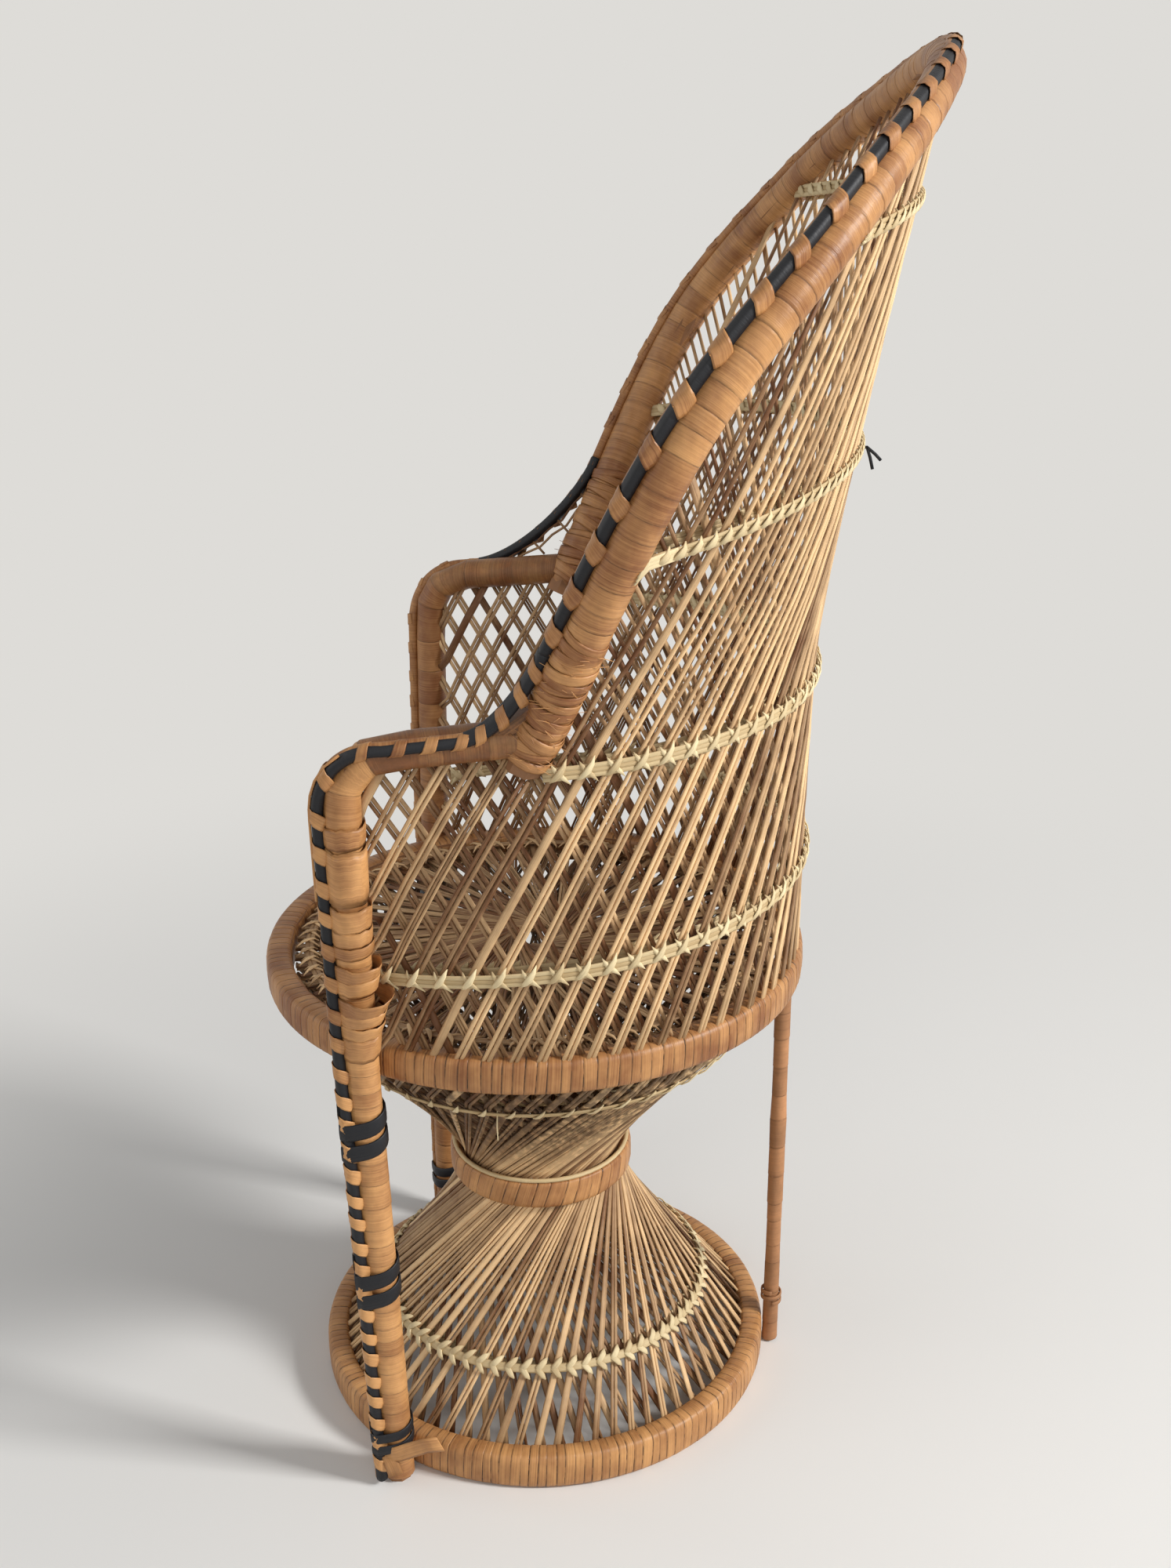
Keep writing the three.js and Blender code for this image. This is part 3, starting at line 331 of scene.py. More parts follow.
def back_depth(z):
    share = max(0, (z - ELBOW.z) / (CROWN.z - ELBOW.z))
    return BACK_AT_ELBOW + (BACK_AT_CROWN - BACK_AT_ELBOW) * share ** BACK_CURVE


def back_half_width(z):
    edge = hoop_at_height(min(max(z, ELBOW.z), BROW.z))
    share = min(edge.y / back_depth(min(z, BROW.z)), 0.995)
    return edge.x / math.sqrt(1 - share ** 2)


ELBOW_ANGLE = math.acos(ELBOW.y / BACK_AT_ELBOW)
ELBOW_WIDTH = back_half_width(ELBOW.z)


def arm_plan(angle):
    side = math.copysign(1, angle)
    turn = abs(angle)
    if turn <= ELBOW_ANGLE:
        return Vector((side * ELBOW_WIDTH * math.sin(turn), BACK_AT_ELBOW * math.cos(turn), 0))
    share = (turn - ELBOW_ANGLE) / (LEG_ANGLE - ELBOW_ANGLE)
    return mirrored(ELBOW.lerp(ARM_CORNER, share), side)


def back_surface(angle, z):
    if z > ELBOW.z:
        return Vector((back_half_width(z) * math.sin(angle), back_depth(z) * math.cos(angle), z))
    share = max(0, (z - SEAT_TOP) / (ELBOW.z - SEAT_TOP)) ** ARM_FLARE
    circle = Vector((math.sin(angle), math.cos(angle), 0)) * SEAT_LATTICE
    point = circle.lerp(arm_plan(angle), share)
    return Vector((point.x, point.y, z))


NEARBY = 0.01  # angle to the points on both sides that give a direction


def back_outward(angle, z):
    sideways = back_surface(angle + NEARBY, z) - back_surface(angle - NEARBY, z)
    return Vector((-sideways.y, sideways.x, 0)).normalized()


TURN_STEP = 4


def strand_turns():
    """How far round a strand has gone, at each step of height above its foot."""
    turns = [0]
    z = STRAND_FOOT + TURN_STEP
    while z < CROWN.z + TURN_STEP:
        share = clamp((z - SEAT_TOP) / LEAN_RAMP)
        lean = LEAN_AT_SEAT + (LEAN_ABOVE_ARMS - LEAN_AT_SEAT) * share
        turns.append(turns[-1] + lean * TURN_STEP / back_half_width(z))
        z = STRAND_FOOT + len(turns) * TURN_STEP
    return turns


TURNS = strand_turns()


def back_turn(z):
    """How far round a strand has gone at a height."""
    place = min(max((z - STRAND_FOOT) / TURN_STEP, 0), len(TURNS) - 1.001)
    i = int(place)
    return TURNS[i] + (TURNS[i + 1] - TURNS[i]) * (place - i)


FRAME_STEP = 4
HOOP_PLACES = range(-HOOP_TAIL, int(HOOP.length) + HOOP_TAIL, FRAME_STEP)
FRAME_POINTS = [(HOOP.at(s), hoop_radius(s)) for s in HOOP_PLACES]
for _, pole in LEGS.values():
    FRAME_POINTS += [(pole.at(s), LEG_RADIUS) for s in range(0, int(pole.length), FRAME_STEP)]


def depth_in_frame(point):
    """How deep a point lies in the wrapped hoop or a leg; below 0 it is outside."""
    return max(radius - (point - centre).length for centre, radius in FRAME_POINTS)


# Meshes


def bar(rings, sides, capped):
    """A bar of unit length and radius along +X, cut into rings."""
    bm = bmesh.new()
    turn = Matrix.Translation((0.5, 0, 0)) @ Matrix.Rotation(math.pi / 2, 4, "Y")
    bmesh.ops.create_cone(
        bm, cap_ends=capped, segments=sides, radius1=1, radius2=1, depth=1, matrix=turn
    )
    lengthwise = [e for e in bm.edges if abs(e.verts[0].co.x - e.verts[1].co.x) > 0.5]
    if rings > 1:
        bmesh.ops.subdivide_edges(bm, edges=lengthwise, cuts=rings - 1, use_grid_fill=True)
    return bm


def rounded(power):
    """A section between a square and, at a power of 1, a round."""
    return lambda i, y, z: (math.copysign(abs(y) ** power, y), math.copysign(abs(z) ** power, z))


FLAT = rounded(0.7)
# How far its tone shifts the grain of a strip, so that neighbours differ
GRAIN_SHIFT_ALONG = 70
GRAIN_SHIFT_AROUND = 90


def swept(stations, sides, tones=0.5, dirt_and_shade=None, closed=False, section=FLAT, around=False):
    """A bar bent through stations, each a centre with its half width and half thickness as vectors.

    The section gives the place of a unit circle's point at a station. The grain runs along the bar,
    or around it for wound peel.
    """
    count = len(stations)
    rings = count if closed else count - 1
    bm = bar(rings, sides, not closed)
    grain = bm.verts.layers.float_vector.new("grain")
    soil_and_shade = bm.verts.layers.float.new("dirt_and_shade")
    marks = [0]
    for (a, *_), (b, *_) in zip(stations, stations[1:]):
        marks.append(marks[-1] + (b - a).length)
    for vert in bm.verts:
        i = round(vert.co.x * rings) % count
        centre, side, out = stations[i]
        across, rise = section(i, vert.co.y, vert.co.z)
        tone = tones if isinstance(tones, float) else tones[i]
        vert.co = centre + side * across + out * rise
        if around:
            vert[grain] = (tone * GRAIN_SHIFT_AROUND, marks[i], tone)
        else:
            vert[grain] = (marks[i], across * side.length + tone * GRAIN_SHIFT_ALONG, tone)
        vert[soil_and_shade] = dirt_and_shade[i] if dirt_and_shade else 0
    if closed:
        bmesh.ops.remove_doubles(bm, verts=bm.verts, dist=1e-4)
    if bm.calc_volume(signed=True) < 0:
        bmesh.ops.reverse_faces(bm, faces=bm.faces)
    return bm


def along_path(points, outs, shares):
    """Stations of a strip: each point with its side and outward directions and share of the width."""
    path = []
    for i, point in enumerate(points):
        ahead, behind = points[min(i + 1, len(points) - 1)], points[max(i - 1, 0)]
        tangent = (ahead - behind).normalized()
        out = square_to(outs[i], tangent)
        path.append((point, tangent.cross(out), out, shares[i]))
    return path


def tapered(points, outs, shares, half_width, half_thickness, tone):
    """A strip through points, as wide at each as its share."""
    stations = []
    for point, side, out, share in along_path(points, outs, shares):
        stations.append((point, side * half_width * share, out * half_thickness))
    return swept(stations, 6, tone)


def strip(points, guide, width, thickness, tone):
    """A strip of even width through points, with its face towards the guide."""
    count = len(points)
    return tapered(points, [guide] * count, [1] * count, width / 2, thickness / 2, tone)


def add_piece(name, parts, material, slot, *nodes):
    """One object from many parts, in the frame's metres, standing for its CAD nodes."""
    whole = bmesh.new()
    whole.verts.layers.float_vector.new("grain")
    whole.verts.layers.float.new("dirt_and_shade")
    for part in parts:
        mesh = bpy.data.meshes.new("part")
        part.to_mesh(mesh)
        part.free()
        whole.from_mesh(mesh)
        bpy.data.meshes.remove(mesh)
    place = Matrix.Translation((0, AXIS_Y, 0)) @ Matrix.Scale(MM, 4)
    bmesh.ops.transform(whole, matrix=place, verts=whole.verts)
    for face in whole.faces:
        face.smooth = len(face.verts) == 4
    mesh = bpy.data.meshes.new(name)
    whole.to_mesh(mesh)
    whole.free()
    piece = bpy.data.objects.new(name, mesh)
    bpy.context.scene.collection.objects.link(piece)
    mesh.materials.append(material)
    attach(piece, "root")
    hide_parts(*nodes)


# Materials


def add_node(tree, kind, inputs, **settings):
    """Adds a node with its settings; an input is a value or the socket that feeds it."""
    node = tree.nodes.new(kind)
    for name, value in settings.items():
        setattr(node, name, value)
    for name, value in inputs.items():
        if isinstance(value, bpy.types.NodeSocket):
            tree.links.new(value, node.inputs[name])
        else:
            node.inputs[name].default_value = value
    return node


def new_material(name):
    """A material with its node tree and its shader."""
    material = bpy.data.materials.new(name)
    material.use_nodes = True
    tree = material.node_tree
    return material, tree, tree.nodes["Principled BSDF"]


# Spacing of the stains and the lumps of plant fibre, length of its streaks and depth of its relief
STAIN_SPACING = 20
LUMP_SPACING = 5
STREAK_LENGTH = 50
RELIEF_DEPTH = 0.4
STREAK_SHIFT = 31  # gives strips of other tones other streaks


def fibre(name, dark, light, soil_and_shade, streak, roughness, contrast, stain, relief, lump):
    """A strip of plant fibre: streaks along its grain, a tone of its own, dirt in its seams and painted
    shade on some pieces.

    Streak is the spacing of its lines in millimetres, coarser than the real fibres so that they show.
    Contrast and stain are the strength of lines and stains, relief that of the bump, and lump the
    share of lumps in it.
    """
    found = bpy.data.materials.get(name)
    if found:
        return found
    material, tree, shader = new_material(name)
    grain = add_node(tree, "ShaderNodeAttribute", {}, attribute_name="grain")
    dirt_and_shade = add_node(tree, "ShaderNodeAttribute", {}, attribute_name="dirt_and_shade")
    parts = add_node(tree, "ShaderNodeSeparateXYZ", {"Vector": grain.outputs["Vector"]})
    drawn = add_node(
        tree, "ShaderNodeVectorMath",
        {0: grain.outputs["Vector"], 1: (1 / STREAK_LENGTH, 1 / streak, STREAK_SHIFT)},
        operation="MULTIPLY",
    )
    streaks = add_node(
        tree, "ShaderNodeTexNoise",
        {"Vector": drawn.outputs[0], "Scale": 1, "Detail": 4, "Roughness": 0.65},
    )
    place = add_node(tree, "ShaderNodeTexCoord", {})
    patches = add_node(
        tree, "ShaderNodeTexNoise",
        {
            "Vector": place.outputs["Object"], "Scale": 1 / (STAIN_SPACING * MM),
            "Detail": 3, "Roughness": 0.6,
        },
    )
    lumps = add_node(
        tree, "ShaderNodeTexNoise",
        {"Vector": place.outputs["Object"], "Scale": 1 / (LUMP_SPACING * MM), "Detail": 2},
    )
    lines = add_node(
        tree, "ShaderNodeMath",
        {0: streaks.outputs["Fac"], 1: contrast, 2: -contrast / 2}, operation="MULTIPLY_ADD",
    )
    stains = add_node(
        tree, "ShaderNodeMath",
        {0: patches.outputs["Fac"], 1: stain, 2: -stain / 2}, operation="MULTIPLY_ADD",
    )
    shift = add_node(
        tree, "ShaderNodeMath", {0: lines.outputs[0], 1: stains.outputs[0]}, operation="ADD",
    )
    tone = add_node(
        tree, "ShaderNodeMath", {0: parts.outputs["Z"], 1: shift.outputs[0]},
        operation="ADD", use_clamp=True,
    )
    colour = add_node(
        tree, "ShaderNodeMix",
        {0: tone.outputs[0], 6: (*dark, 1), 7: (*light, 1)}, data_type="RGBA",
    )
    kept = add_node(
        tree, "ShaderNodeMath",
        {0: lumps.outputs["Fac"], 1: 4, 2: -1.2}, operation="MULTIPLY_ADD", use_clamp=True,
    )
    # The dirt_and_shade attribute darkens towards the soil colour: real dirt in the seams, painted shade
    # on the arms, the left corner and under the seat
    seams_and_shade = add_node(
        tree, "ShaderNodeMath", {0: dirt_and_shade.outputs["Fac"], 1: kept.outputs[0]}, operation="MULTIPLY",
    )
    soiled_and_shaded = add_node(
        tree, "ShaderNodeMix",
        {0: seams_and_shade.outputs[0], 6: colour.outputs[2], 7: (*soil_and_shade, 1)}, data_type="RGBA",
    )
    gloss = add_node(
        tree, "ShaderNodeMath",
        {0: streaks.outputs["Fac"], 1: 0.25, 2: roughness - 0.12}, operation="MULTIPLY_ADD",
    )
    height = add_node(
        tree, "ShaderNodeMath",
        {0: lumps.outputs["Fac"], 1: lump, 2: streaks.outputs["Fac"]}, operation="MULTIPLY_ADD",
    )
    bump = add_node(
        tree, "ShaderNodeBump",
        {"Height": height.outputs[0], "Strength": relief, "Distance": RELIEF_DEPTH * MM},
    )
    tree.links.new(soiled_and_shaded.outputs[2], shader.inputs["Base Color"])
    tree.links.new(gloss.outputs[0], shader.inputs["Roughness"])
    tree.links.new(bump.outputs["Normal"], shader.inputs["Normal"])
    shader.inputs["IOR"].default_value = 1.45
    return material


# Colour of dirt in the seams, and of the painted shade darkened onto some pieces
SOIL_AND_SHADE_COLOUR = linear("#3A2412")


def rattan_peel(colours):
    # The skin of rattan, split and wound on: a satin face, fine lines along each turn, dark seams
    return fibre(
        "Rattan peel", colours.peel_dark, colours.peel_light, SOIL_AND_SHADE_COLOUR,
        streak=0.8, roughness=0.44, contrast=1.3, stain=1.6, relief=0.45, lump=1.6,
    )


def split_cane(colours):
    # The core of rattan, split to flat strands: dull, with pores drawn out to long lines
    return fibre(
        "Split cane", colours.cane_dark, colours.cane_light, SOIL_AND_SHADE_COLOUR,
        streak=0.5, roughness=0.56, contrast=0.8, stain=0.9, relief=0.5, lump=0.6,
    )


def straw(colours):
    # Pale rush in the twined bands: flat and papery, nearly even in colour
    return fibre(
        "Straw", linear("#A88A5C"), colours.straw, linear("#6E5A2C"),
        streak=0.6, roughness=0.6, contrast=0.6, stain=0.5, relief=0.5, lump=0.4,
    )


def dyed_peel(colours):
    # Peel dyed black: duller than the natural peel, worn a little paler along its lines
    wear_and_shade = [1.8 * c for c in colours.black]
    return fibre(
        "Dyed black peel", colours.black, wear_and_shade, linear("#0C0C10"),
        streak=0.9, roughness=0.55, contrast=0.6, stain=0.7, relief=0.45, lump=1.2,
    )


def bark(colours):
    # A thin unpeeled stick: dull bark with blotches and lengthwise cracks
    light = [min(1, 2.1 * c) for c in colours.stick]
    return fibre(
        "Rattan bark", colours.stick, light, SOIL_AND_SHADE_COLOUR,
        streak=1.6, roughness=0.66, contrast=0.8, stain=1.2, relief=0.6, lump=1.5,
    )


def nail_wire():
    # Drawn steel wire: a plain bright face with brown stains, hidden in the poles
    material, tree, shader = new_material("Steel wire")
    place = add_node(tree, "ShaderNodeTexCoord", {})
    stains = add_node(
        tree, "ShaderNodeTexNoise",
        {"Vector": place.outputs["Object"], "Scale": 1 / (2 * MM), "Detail": 2},
    )
    bright, brown = linear("#8B8C8E"), linear("#6E655C")
    colour = add_node(
        tree, "ShaderNodeMix",
        {0: stains.outputs["Fac"], 6: (*bright, 1), 7: (*brown, 1)}, data_type="RGBA",
    )
    tree.links.new(colour.outputs[2], shader.inputs["Base Color"])
    shader.inputs["Metallic"].default_value = 1
    shader.inputs["Roughness"].default_value = 0.35
    return material


BACKDROP = linear("#DEDCD8")


def seen_directly(tree):
    """1 for rays of the camera, of reflections and through glass, which see the pale backdrop."""
    path = add_node(tree, "ShaderNodeLightPath", {})
    seen = add_node(
        tree, "ShaderNodeMath",
        {0: path.outputs["Is Camera Ray"], 1: path.outputs["Is Glossy Ray"]}, operation="ADD",
    )
    return add_node(
        tree, "ShaderNodeMath",
        {0: seen.outputs[0], 1: path.outputs["Is Transmission Ray"]}, operation="ADD", use_clamp=True,
    ).outputs[0]


FADE_START = 0.25  # metres from the middle, where the floor starts to fade into the backdrop
FADE_END = 1.05


def studio_floor(colours):
    # A painted studio floor: matt, with the faint cloudiness of a roller, fading into the backdrop
    material, tree, shader = new_material("Studio floor paint")
    place = add_node(tree, "ShaderNodeTexCoord", {})
    clouds = add_node(
        tree, "ShaderNodeTexNoise",
        {"Vector": place.outputs["Object"], "Scale": 1 / (300 * MM), "Detail": 2},
    )
    paler = [min(1, 1.04 * c) for c in colours.floor]
    colour = add_node(
        tree, "ShaderNodeMix",
        {0: clouds.outputs["Fac"], 6: (*colours.floor, 1), 7: (*paler, 1)}, data_type="RGBA",
    )
    tree.links.new(colour.outputs[2], shader.inputs["Base Color"])
    shader.inputs["Roughness"].default_value = 0.8
    away = add_node(tree, "ShaderNodeVectorMath", {0: place.outputs["Object"]}, operation="LENGTH")
    far = add_node(
        tree, "ShaderNodeMapRange",
        {"Value": away.outputs["Value"], "From Min": FADE_START, "From Max": FADE_END},
        interpolation_type="SMOOTHSTEP",
    )
    fade = add_node(
        tree, "ShaderNodeMath", {0: far.outputs[0], 1: seen_directly(tree)}, operation="MULTIPLY",
    )
    backdrop = add_node(tree, "ShaderNodeEmission", {"Color": (*BACKDROP, 1), "Strength": 1})
    both = add_node(
        tree, "ShaderNodeMixShader", {0: fade.outputs[0], 1: shader.outputs[0], 2: backdrop.outputs[0]}
    )
    tree.links.new(both.outputs[0], tree.nodes["Material Output"].inputs["Surface"])
    return material


# Wound peel

SEAM = 0.4  # from the middle of a seam to the full height of the peel
HOOP_INSET = 0.25  # of the peel's face below the solid's, so that a lifted turn stays near it
POLE_INSET = 0.2
PEEL_SIDES = 16
ROUND = rounded(1)


def turn_rings(width, depth, lift):
    """Places across one turn of peel, each with how far it lies below the face and its dirt."""
    edge = min(SEAM, width / 5)
    flat = min(1.2, width / 3)
    return (
        (0, depth, 1),
        (edge, -lift, 0.1),
        (flat, -lift * 0.8, 0),
        (width - flat, -lift * 0.2, 0),
        (width - edge, 0, 0.1),
    )


def peel_on_hoop(radius, wall, bottom, top, pitch, slant, tone_range, seed):
    """Peel wound round a level hoop of flat strip."""
    draw = random.Random(seed)
    widths = []
    while sum(widths) < math.tau * radius:
        widths.append(pitch * draw.uniform(0.8, 1.2))
    fit = math.tau / sum(widths)
    middle, half_wall, half_height = radius - wall / 2, wall / 2, (top - bottom) / 2
    stations, tones, dirt_and_shade = [], [], []
    start = 0
    for width in widths:
        depth = draw.choice((0.1, 0.2, 0.4))
        lift = draw.uniform(0, 0.2)
        lean = slant + draw.uniform(-0.04, 0.04)
        tone = draw.uniform(*tone_range)
        for across, drop, soil_and_shade in turn_rings(width, depth, lift):
            radial, along = round_axis((start + across) * fit)
            centre = radial * middle + UP * (bottom + half_height)
            fall = drop + HOOP_INSET
            rise = (UP + along * lean) * (half_height - max(drop, 0))
            stations.append((centre, radial * (half_wall - fall), rise))
            tones.append(tone)
            dirt_and_shade.append(soil_and_shade * (0.8 + depth))
        start += width
    section = rounded(HOOP_SQUARENESS)
    return swept(stations, PEEL_SIDES, tones, dirt_and_shade, closed=True, section=section, around=True)


def peel_on_pole(line, start, end, radius_at, guide_at, pitch_at, tones_at, seed, slant):
    """Peel wound round a pole as a helix, closed over its ends."""
    draw = random.Random(seed)
    stations, tones, dirt_and_shade = [], [], []

    def add(length, fall, tone, soil_and_shade):
        tangent = line.tangent(length)
        out = square_to(guide_at(tangent), tangent)
        side = tangent.cross(out)
        radius = radius_at(length) - fall
        stations.append((line.at(length), (side + tangent * slant) * radius, out * radius))
        tones.append(tone)
        dirt_and_shade.append(soil_and_shade)

    length = start
    while length < end:
        width = min(pitch_at(length) * draw.uniform(0.7, 1.35), end - length)
        depth = draw.choice((0.05, 0.1, 0.2))
        lift = draw.uniform(0, 0.3)
        # The third value darkens the whole turn: painted shade on the arms
        low, high, wear_and_shade = tones_at(length)
        tone = draw.uniform(low, high)
        for across, drop, soil_and_shade in turn_rings(width, depth, lift):
            add(length + across, drop + POLE_INSET, tone, max(wear_and_shade, soil_and_shade * (0.5 + depth)))
        length += width
    add(end, 0.5, 0.4, 0.4)
    return swept(stations, PEEL_SIDES, tones, dirt_and_shade, section=ROUND, around=True)


HOOP_END = 8  # length over which the back hoop is drawn in at its two ends


def hoop_end_radius(length):
    """The back hoop's radius, drawn in at its two ends."""
    past = max(-length, length - HOOP.length) - HOOP_TAIL + HOOP_END
    return hoop_radius(length) * math.sqrt(1 - 0.8 * (max(0, past) / HOOP_END) ** 2)


# Level hoops: name, sizes, share of the peel's width, slant of the turns, darkest and lightest turn
LEVEL_HOOPS = (
    ("base", (BASE_RADIUS, BASE_WALL, BASE_BOTTOM, BASE_TOP), 0.9, 0.05, (0.45, 0.8)),
    ("waist", (WAIST_RADIUS, WAIST_WALL, WAIST_BOTTOM, WAIST_TOP), 1.4, 0.3, (0.2, 0.7)),
    ("seat", (SEAT_RADIUS, SEAT_WALL, SEAT_BOTTOM, SEAT_TOP), 1, 0.06, (0.2, 0.5)),
)
WAIST_CANE_INSET = 2.6  # of its middle from the outside of the waist hoop
WAIST_CANE_HALF_WIDTH = 1.2
WAIST_CANE_HALF_HEIGHT = 1.1
WAIST_CANE_STEPS = 48


class CHAIR_OT_wrap_hoops(bpy.types.Operator):
    """Winds peel round the base, waist and seat hoops and lays the pale cane on the waist hoop"""

    bl_idname = "chair.wrap_hoops"
    bl_label = "Wrap Level Hoops"

    def execute(self, context):
        pitch = context.scene.chair_sizes.hoop_peel / MM
        colours = context.scene.chair_colours
        peel = rattan_peel(colours)
        for i, (label, sizes, share, slant, tones) in enumerate(LEVEL_HOOPS):
            turns = peel_on_hoop(*sizes, pitch * share, slant, tones, SEED + i)
            add_piece(f"{label}_hoop_peel", [turns], peel, "peel", f"{label}_hoop_wrap")
        height = UP * (WAIST_TOP + WAIST_CANE_HALF_HEIGHT)
        cane = []
        for i in range(WAIST_CANE_STEPS):
            radial = polar(1, i / WAIST_CANE_STEPS * math.tau, 0)
            centre = radial * (WAIST_RADIUS - WAIST_CANE_INSET) + height
            cane.append((centre, radial * WAIST_CANE_HALF_WIDTH, UP * WAIST_CANE_HALF_HEIGHT))
        add_piece("waist_cane", [swept(cane, 8, closed=True)], straw(colours), "twine", "waist_rim_cane")
        return {"FINISHED"}


# Places along a leg where turns have slipped and the pole lies bare
BARE = {"left": ((316, 318.5), (334, 339)), "right": ()}
BARE_DEPTH = 1.3
# Darkest and lightest turn, and how far a turn darkens towards the soil colour, which is painted shade
HOOP_TONES = (0.2, 0.7, 0)
# The right leg's darker tones are painted shade of the far side
LEG_TONES_AND_SHADE = {"left": (0.45, 0.9, 0), "right": (0.05, 0.4, 0)}
# The arms' dark tones and their darkening are painted shade
ARM_TONES_PAINTED_SHADE = (0.0, 0.3, 0.35)
ARM_START = ARM_CORNER.z - 12  # height from which a leg has the tones of an arm
# Share of the peel's width above and below the seat
UPPER_LEG_PEEL = 1.4
LOWER_LEG_PEEL = 0.95
HOOP_SLANT = 0.15
LEG_SLANT = 0.18
FOOT_GAP = 1.8  # from the floor to the peel, and from its end to the elbow
ELBOW_GAP = 8


def worn_leg_radius(label, length):
    bare = any(low < length < high for low, high in BARE[label])
    return LEG_RADIUS - (BARE_DEPTH if bare else 0)


class CHAIR_OT_wrap_poles(bpy.types.Operator):
    """Winds peel round the back hoop and the front legs with their arms"""

    bl_idname = "chair.wrap_poles"
    bl_label = "Wrap Poles"

    def execute(self, context):
        pitch = context.scene.chair_sizes.pole_peel / MM
        peel = rattan_peel(context.scene.chair_colours)
        turns = peel_on_pole(
            HOOP, -HOOP_TAIL, HOOP.length + HOOP_TAIL, hoop_end_radius,
            lambda tangent: HOOP_FACE, lambda length: pitch, lambda length: HOOP_TONES, SEED, HOOP_SLANT,
        )
        add_piece("back_hoop_peel", [turns], peel, "peel", "back_hoop_wrap")
        for i, (label, (side, line)) in enumerate(LEGS.items()):
            turns = peel_on_pole(
                line, FOOT_GAP, line.length - ELBOW_GAP, lambda length: worn_leg_radius(label, length),
                leg_front,
                lambda length: pitch * (UPPER_LEG_PEEL if length > SEAT_TOP else LOWER_LEG_PEEL),
                lambda length: LEG_TONES_AND_SHADE[label] if line.at(length).z < ARM_START else ARM_TONES_PAINTED_SHADE,
                SEED + 3 + i, LEG_SLANT * side,
            )
            add_piece(f"front_leg_peel_{label}", [turns], peel, "peel", f"front_leg_wrap_{label}")
        return {"FINISHED"}


RING_STEPS = 24


def ring_strip(centre, axis, guide, edges_at, thickness, tone):
    """A strip closed round a pole.

    By angle from the guide, edges_at gives the radius and height of its lower and upper edges.
    """
    first = square_to(guide, axis)
    second = axis.cross(first)
    stations = []
    for i in range(RING_STEPS):
        angle = i / RING_STEPS * math.tau
        radial = first * math.cos(angle) + second * math.sin(angle)
        (low, foot), (high, head) = edges_at(angle)
        bottom = radial * low + axis * foot
        top = radial * high + axis * head
        stations.append((centre + (top + bottom) / 2, (top - bottom) / 2, radial * thickness / 2))
    return swept(stations, 6, tone, closed=True)


def fibre_end(start, direction, rise, length, tone):
    """A frayed fibre that leaves a surface."""
    points = [start, start + direction * length / 2 + rise * 0.3, start + direction * length + rise]
    path = along_path(points, [rise.normalized()] * 3, [1, 0.8, 0.4])
    stations = [(point, side * 0.3 * share, out * 0.25 * share) for point, side, out, share in path]
    return swept(stations, 4, tone)


ELBOW_TURNS = 17
ELBOW_TURNS_START = -9  # along the hoop from the elbow
ELBOW_PITCH = 4.3
ELBOW_FIBRES = 46


def elbow_turn(side, reach, draw):
    """A narrow turn of peel round the back hoop near an elbow."""
    length = past_elbow(side, reach + draw.uniform(-1, 1))
    radius = hoop_end_radius(length) + draw.uniform(0.1, 0.7)
    low, high = radius + draw.uniform(-0.3, 0.2), radius + draw.uniform(-0.3, 0.2)
    half, tilt = draw.uniform(1.6, 3.5), draw.uniform(-3, 3)

    def edges(angle):
        lean = tilt * math.cos(angle)
        return (low, lean - half), (high, lean + half)

    tone = draw.uniform(0.0, 0.6)
    return ring_strip(HOOP.at(length), HOOP.tangent(length), HOOP_FACE, edges, 0.7, tone)


def elbow_fibre(side, draw):
    """A frayed fibre on the back hoop near an elbow."""
    length = past_elbow(side, draw.uniform(-10, 60))
    tangent = HOOP.tangent(length)
    out = square_to(Vector((side, draw.uniform(-1, 1), draw.uniform(-0.6, 0.4))), tangent)
    start = HOOP.at(length) + out * (hoop_end_radius(length) - 0.4)
    along = tangent.cross(out) * draw.choice((-1, 1)) + tangent * draw.uniform(-0.4, 0.4)
    rise = out * draw.uniform(0.3, 2.2)
    return fibre_end(start, along.normalized(), rise, draw.uniform(5, 12), draw.uniform(0.4, 1.0))


class CHAIR_OT_bunch_elbows(bpy.types.Operator):
    """Bunches narrow turns with frayed ends where the arms meet the back hoop"""

    bl_idname = "chair.bunch_elbows"
    bl_label = "Bunch Elbows"

    def execute(self, context):
        peel = rattan_peel(context.scene.chair_colours)
        for label, (side, _) in LEGS.items():
            draw = random.Random(SEED + 80 + side)
            parts = []
            for k in range(ELBOW_TURNS):
                parts.append(elbow_turn(side, ELBOW_TURNS_START + k * ELBOW_PITCH, draw))
            for _ in range(ELBOW_FIBRES):
                parts.append(elbow_fibre(side, draw))
            add_piece(f"elbow_turns_{label}", parts, peel, "peel", "back_hoop_wrap")
        return {"FINISHED"}


# Strands

CANE_COUNTS = (0.1, 0.75, 0.15)  # how often a strand has one, two or three canes


